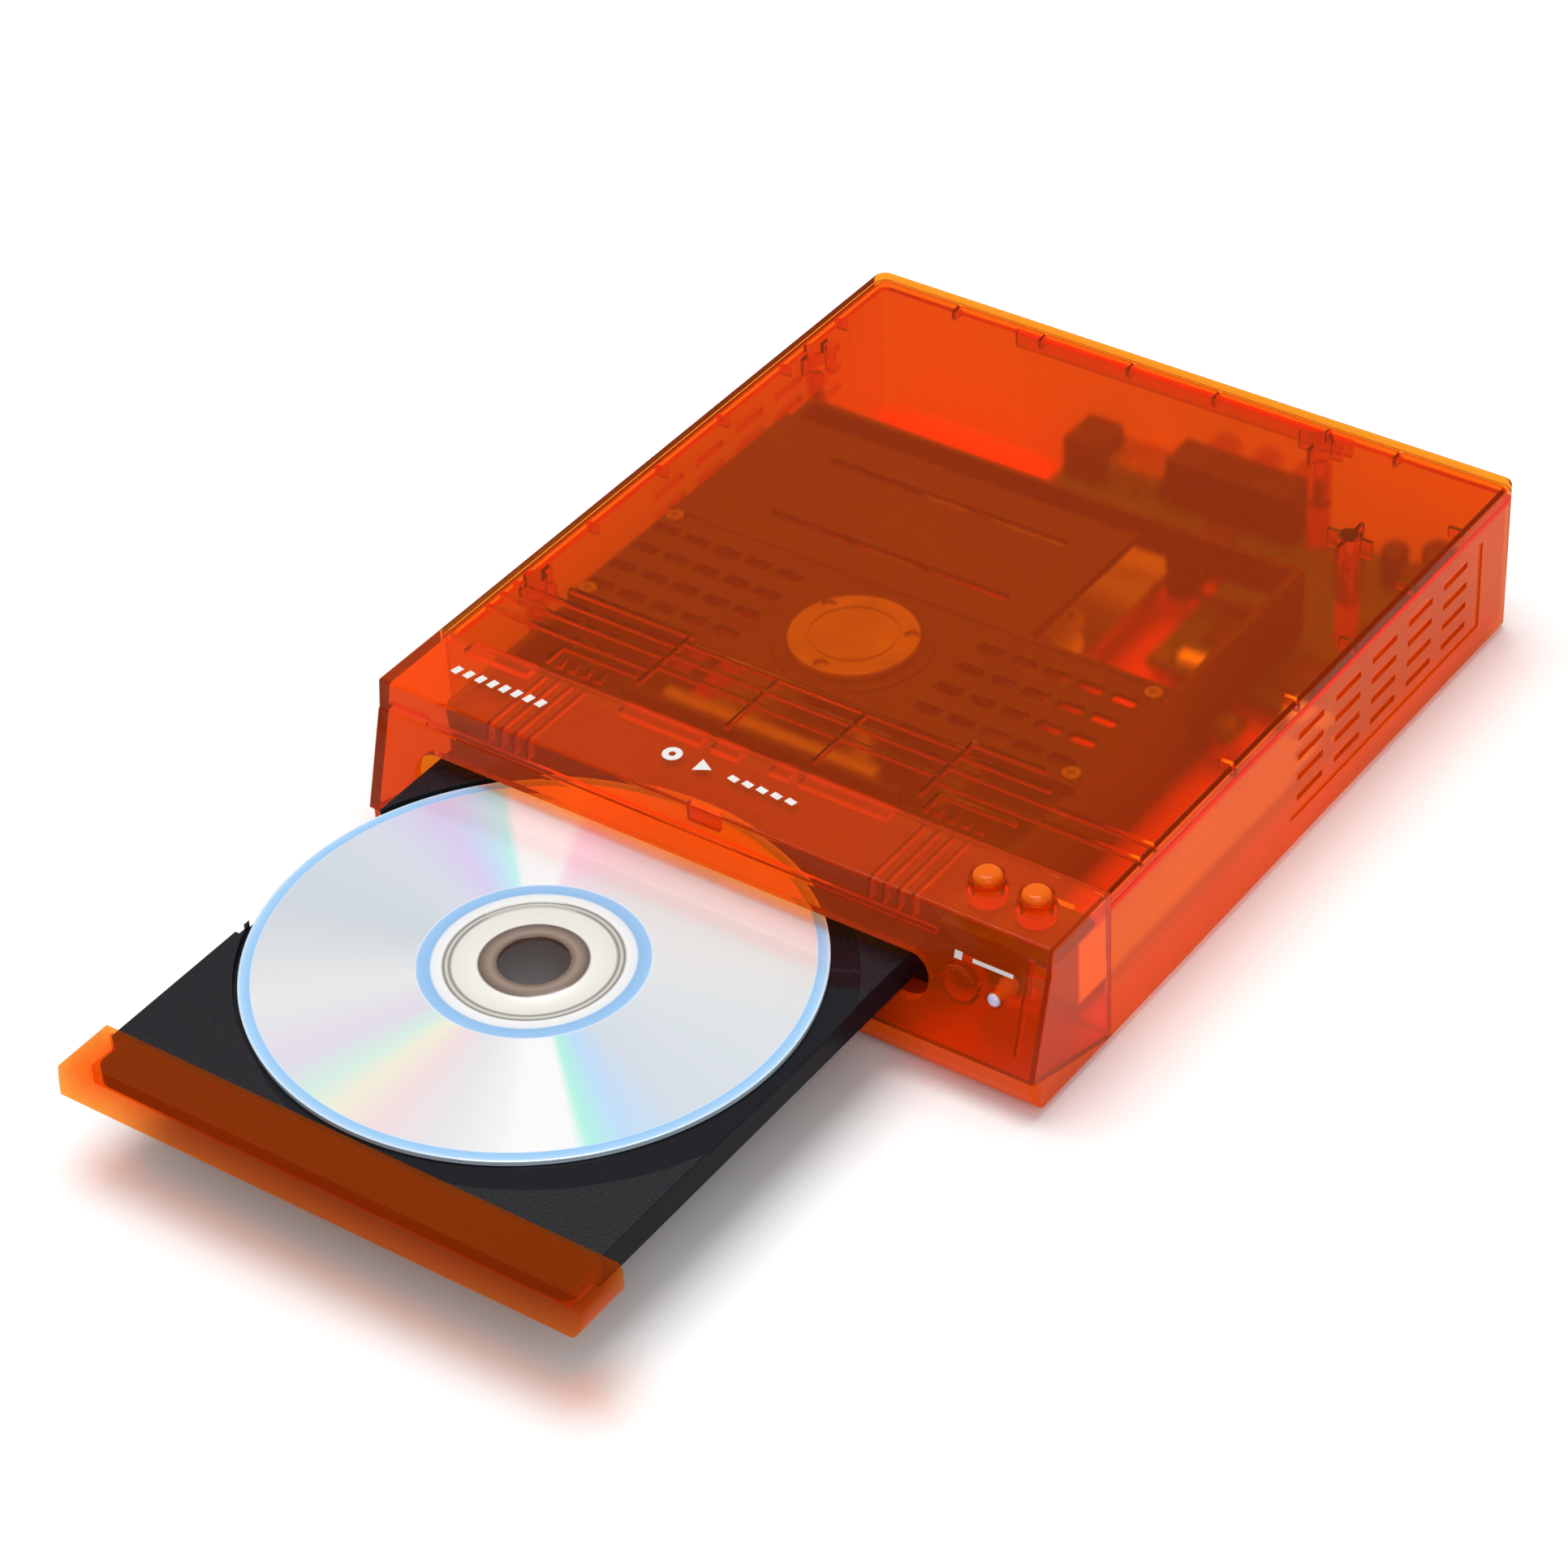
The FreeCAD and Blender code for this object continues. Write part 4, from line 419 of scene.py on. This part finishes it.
# painted reflections: rainbow fans and white highlight wedges by angle round the hub, anticlockwise from the
# object's right side
turn = nodes.new("ShaderNodeTexGradient")
turn.gradient_type = "RADIAL"
painted_reflections = nodes.new("ShaderNodeValToRGB")
PAINTED_REFLECTION_STOPS = (
    (0, (0.74, 0.80, 0.84)), (30, (0.84, 0.84, 0.83)), (75, (0.84, 0.82, 0.82)),
    (100, (0.88, 0.78, 0.84)), (113, (0.98, 0.76, 0.90)), (117, (1.0, 1.0, 1.0)),
    (132, (1.0, 1.0, 1.0)), (135, (0.56, 0.96, 0.94)), (141, (0.62, 0.80, 1.0)),
    (149, (0.74, 0.66, 0.94)), (163, (0.72, 0.77, 0.86)), (192, (0.66, 0.71, 0.77)),
    (225, (0.86, 0.86, 0.85)), (246, (0.80, 0.74, 0.86)), (256, (0.70, 0.90, 0.82)),
    (264, (0.94, 0.90, 0.72)), (274, (0.94, 0.76, 0.78)), (288, (0.84, 0.84, 0.86)),
    (300, (0.94, 0.94, 0.95)), (304, (1.0, 1.0, 1.0)), (315, (1.0, 1.0, 1.0)),
    (318, (0.46, 0.94, 0.80)), (325, (0.54, 0.76, 1.0)), (338, (0.70, 0.75, 0.82)),
    (360, (0.74, 0.80, 0.84)),
)
ramp = painted_reflections.color_ramp
ramp.elements[0].color = (*PAINTED_REFLECTION_STOPS[0][1], 1)
ramp.elements[1].color = (*PAINTED_REFLECTION_STOPS[-1][1], 1)
for stop, tone in PAINTED_REFLECTION_STOPS[1:-1]:
    ramp.elements.new(stop / 360).color = (*tone, 1)
half_turn = nodes.new("ShaderNodeMapping")
half_turn.inputs["Rotation"].default_value = (0, 0, math.pi)
# the painted reflections cover only the data zone, from about 24 mm to 57 mm out
data_zone = nodes.new("ShaderNodeMapRange")
data_zone.inputs["From Min"].default_value = 0.0240
data_zone.inputs["From Max"].default_value = 0.0243
data_end = nodes.new("ShaderNodeMapRange")
data_end.inputs["From Min"].default_value = 0.0572
data_end.inputs["From Max"].default_value = 0.0575
data_end.inputs["To Min"].default_value = 1.0
data_end.inputs["To Max"].default_value = 0.0
data_share = nodes.new("ShaderNodeMath")
data_share.operation = "MULTIPLY"
colour = nodes.new("ShaderNodeMix")
colour.data_type = "RGBA"
tracks = nodes.new("ShaderNodeTexWave")
tracks.wave_type = "RINGS"
tracks.rings_direction = "Z"
tracks.inputs["Scale"].default_value = 900.0
relief = nodes.new("ShaderNodeBump")
relief.inputs["Strength"].default_value = 0.02
relief.inputs["Distance"].default_value = 0.0001
metal = nodes.new("ShaderNodeMapRange")
metal.inputs["To Min"].default_value = 0.10
metal.inputs["To Max"].default_value = 0.35
skin.inputs["Roughness"].default_value = 0.20
skin.inputs["Coat Weight"].default_value = 1.0
skin.inputs["Coat Roughness"].default_value = 0.03
links.new(place.outputs["Object"], centre.inputs["Vector"])
links.new(centre.outputs["Vector"], split.inputs[0])
links.new(split.outputs["X"], flat.inputs["X"])
links.new(split.outputs["Y"], flat.inputs["Y"])
links.new(flat.outputs["Vector"], reach.inputs[0])
links.new(reach.outputs["Value"], radius.inputs["Value"])
links.new(radius.outputs["Result"], bands.inputs["Fac"])
links.new(flat.outputs["Vector"], half_turn.inputs["Vector"])
links.new(half_turn.outputs["Vector"], turn.inputs["Vector"])
links.new(turn.outputs["Fac"], painted_reflections.inputs["Fac"])
links.new(reach.outputs["Value"], data_zone.inputs["Value"])
links.new(reach.outputs["Value"], data_end.inputs["Value"])
links.new(data_zone.outputs["Result"], data_share.inputs[0])
links.new(data_end.outputs["Result"], data_share.inputs[1])
links.new(data_share.outputs["Value"], colour.inputs[0])
links.new(bands.outputs["Color"], colour.inputs[6])
links.new(painted_reflections.outputs["Color"], colour.inputs[7])
links.new(colour.outputs[2], skin.inputs["Base Color"])
links.new(data_share.outputs["Value"], metal.inputs["Value"])
links.new(metal.outputs["Result"], skin.inputs["Metallic"])
links.new(flat.outputs["Vector"], tracks.inputs["Vector"])
links.new(tracks.outputs["Fac"], relief.inputs["Height"])
links.new(relief.outputs["Normal"], skin.inputs["Normal"])
disc.data.materials.append(mirror)
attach(disc, "disc")
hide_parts("disc")

# Printed marks. Small white signs printed on the bezel: a row of bars at the left, a ring, a
# triangle and short bars in the middle, and a square and a dash above the lamp.
MARK_THICK = 0.00004
STRIP_TOP = 0.0400           # height of the bezel's flat top
CHIN_TOP = 0.0104            # the sloping panel rises from here ...
PANEL_RISE = 0.0224          # ... by this much, leaning back by PANEL_RUN
PANEL_RUN = 0.0064
SIGN_HEIGHT = 0.0310         # where the two signs on the panel stand
strip_left, strip_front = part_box("front_bezel")[0][:2]

bpy.ops.object.select_all(action="DESELECT")
ring_centre = (strip_left + 0.0690, strip_front + 0.0196, STRIP_TOP)
bpy.ops.mesh.primitive_circle_add(vertices=48, radius=0.0022, fill_type="NOTHING", location=ring_centre)
marks = bpy.context.object
marks.name = "printed_marks"
bpy.ops.object.mode_set(mode="EDIT")
bpy.ops.mesh.select_all(action="SELECT")
bpy.ops.mesh.extrude_region_move(TRANSFORM_OT_translate={"value": (0, 0, 0)})
bpy.ops.transform.resize(value=(0.35, 0.35, 1), center_override=ring_centre)
bpy.ops.mesh.select_all(action="SELECT")
bpy.ops.mesh.extrude_region_move(TRANSFORM_OT_translate={"value": (0, 0, MARK_THICK)})
bpy.ops.mesh.primitive_circle_add(vertices=3, radius=0.0024, fill_type="NGON",
                                  rotation=(0, 0, math.radians(30)),
                                  location=(strip_left + 0.0768, strip_front + 0.0194, STRIP_TOP))
bpy.ops.mesh.extrude_region_move(TRANSFORM_OT_translate={"value": (0, 0, MARK_THICK)})
# bars: left end, spacing, number, width and depth of each row, then its distance from the front
BAR_ROWS = ((0.0118, 0.0032, 8, 0.0018, 0.0024, 0.0190), (0.0836, 0.0036, 5, 0.0023, 0.0016, 0.0194))
for start, pitch, count, width, depth, back in BAR_ROWS:
    for n in range(count):
        at = (strip_left + start + pitch * n + width / 2, strip_front + back, STRIP_TOP + MARK_THICK / 2)
        bpy.ops.mesh.primitive_cube_add(size=1.0, location=at)
        bpy.ops.transform.resize(value=(width, depth, MARK_THICK), center_override=at)
        bpy.ops.transform.rotate(value=math.radians(12), orient_axis="Z", center_override=at)
# a square and a dash on the sloping panel: distance from the left, width and height
sign_front = strip_front + (SIGN_HEIGHT - CHIN_TOP) * PANEL_RUN / PANEL_RISE
for right, width, height in ((0.1488, 0.0018, 0.0018), (0.1570, 0.0096, 0.0009)):
    at = (strip_left + right, sign_front, SIGN_HEIGHT)
    bpy.ops.mesh.primitive_cube_add(size=1.0, location=at)
    bpy.ops.transform.resize(value=(width, MARK_THICK * 2, height), center_override=at)
    bpy.ops.transform.rotate(value=math.atan(PANEL_RUN / PANEL_RISE), orient_axis="X", center_override=at)
bpy.ops.mesh.select_all(action="SELECT")
bpy.ops.mesh.normals_make_consistent(inside=False)
bpy.ops.object.mode_set(mode="OBJECT")
bpy.ops.object.transform_apply(location=True, rotation=True, scale=True)
marks.data.materials.append(moulding("print_white", (0.66, 0.64, 0.62, 1.0), 0.6, 2500.0, 0.1))
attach(marks, "player")

# Room. A plain white floor under soft studio light: a broad lamp high behind on the left, a
# weaker one in front, and an even white surround.
bpy.ops.object.select_all(action="DESELECT")
bpy.ops.mesh.primitive_plane_add(size=8.0, location=(0, 0, 0))
floor = bpy.context.object
floor.name = "studio_floor"
paper = bpy.data.materials.new("studio_paper")
paper.use_nodes = True
paper.node_tree.nodes["Principled BSDF"].inputs["Base Color"].default_value = (0.90, 0.90, 0.90, 1)
paper.node_tree.nodes["Principled BSDF"].inputs["Roughness"].default_value = 0.9
paper.node_tree.nodes["Principled BSDF"].inputs["Specular IOR Level"].default_value = 0.1
floor.data.materials.append(paper)

surround = bpy.data.worlds.new("studio_surround")
surround.use_nodes = True
surround.node_tree.nodes["Background"].inputs["Color"].default_value = (1.0, 1.0, 1.0, 1)
surround.node_tree.nodes["Background"].inputs["Strength"].default_value = 0.42
bpy.context.scene.world = surround


def soft_lamp(name, place, aim, size, watts):
    lamp = bpy.data.lights.new(name, "AREA")
    lamp.shape = "RECTANGLE"
    lamp.size, lamp.size_y = size
    lamp.energy = watts
    holder = bpy.data.objects.new(name, lamp)
    holder.location = place
    holder.rotation_euler = (Vector(aim) - Vector(place)).to_track_quat("-Z", "Y").to_euler()
    bpy.context.scene.collection.objects.link(holder)


soft_lamp("top_lamp", (-0.20, 0.10, 1.4), (0, 0, 0), (1.0, 1.0), 17.0)
soft_lamp("front_lamp", (0.9, -1.0, 1.1), (0, 0, 0), (0.9, 0.9), 7.0)

# Camera. A long lens from the front right, about 38 degrees above the table.
CAMERA_PLACE = Vector((0.4688, -0.63886, 0.6388))
CAMERA_AIM = Vector((-0.0211, 0.01724, 0.0))
CAMERA_ROLL = math.radians(-2.98)

camera = bpy.data.objects.new("camera", bpy.data.cameras.new("camera"))
camera.data.lens = 108.69
camera.data.sensor_width = 36.0
camera.data.clip_start = 0.05
look = (CAMERA_AIM - CAMERA_PLACE).to_track_quat("-Z", "Y").to_matrix().to_4x4()
camera.matrix_world = Matrix.Translation(CAMERA_PLACE) @ look @ Matrix.Rotation(CAMERA_ROLL, 4, "Z")
bpy.context.scene.collection.objects.link(camera)
bpy.context.scene.camera = camera
bpy.context.scene.view_settings.view_transform = "Standard"
bpy.context.scene.cycles.transparent_max_bounces = 32
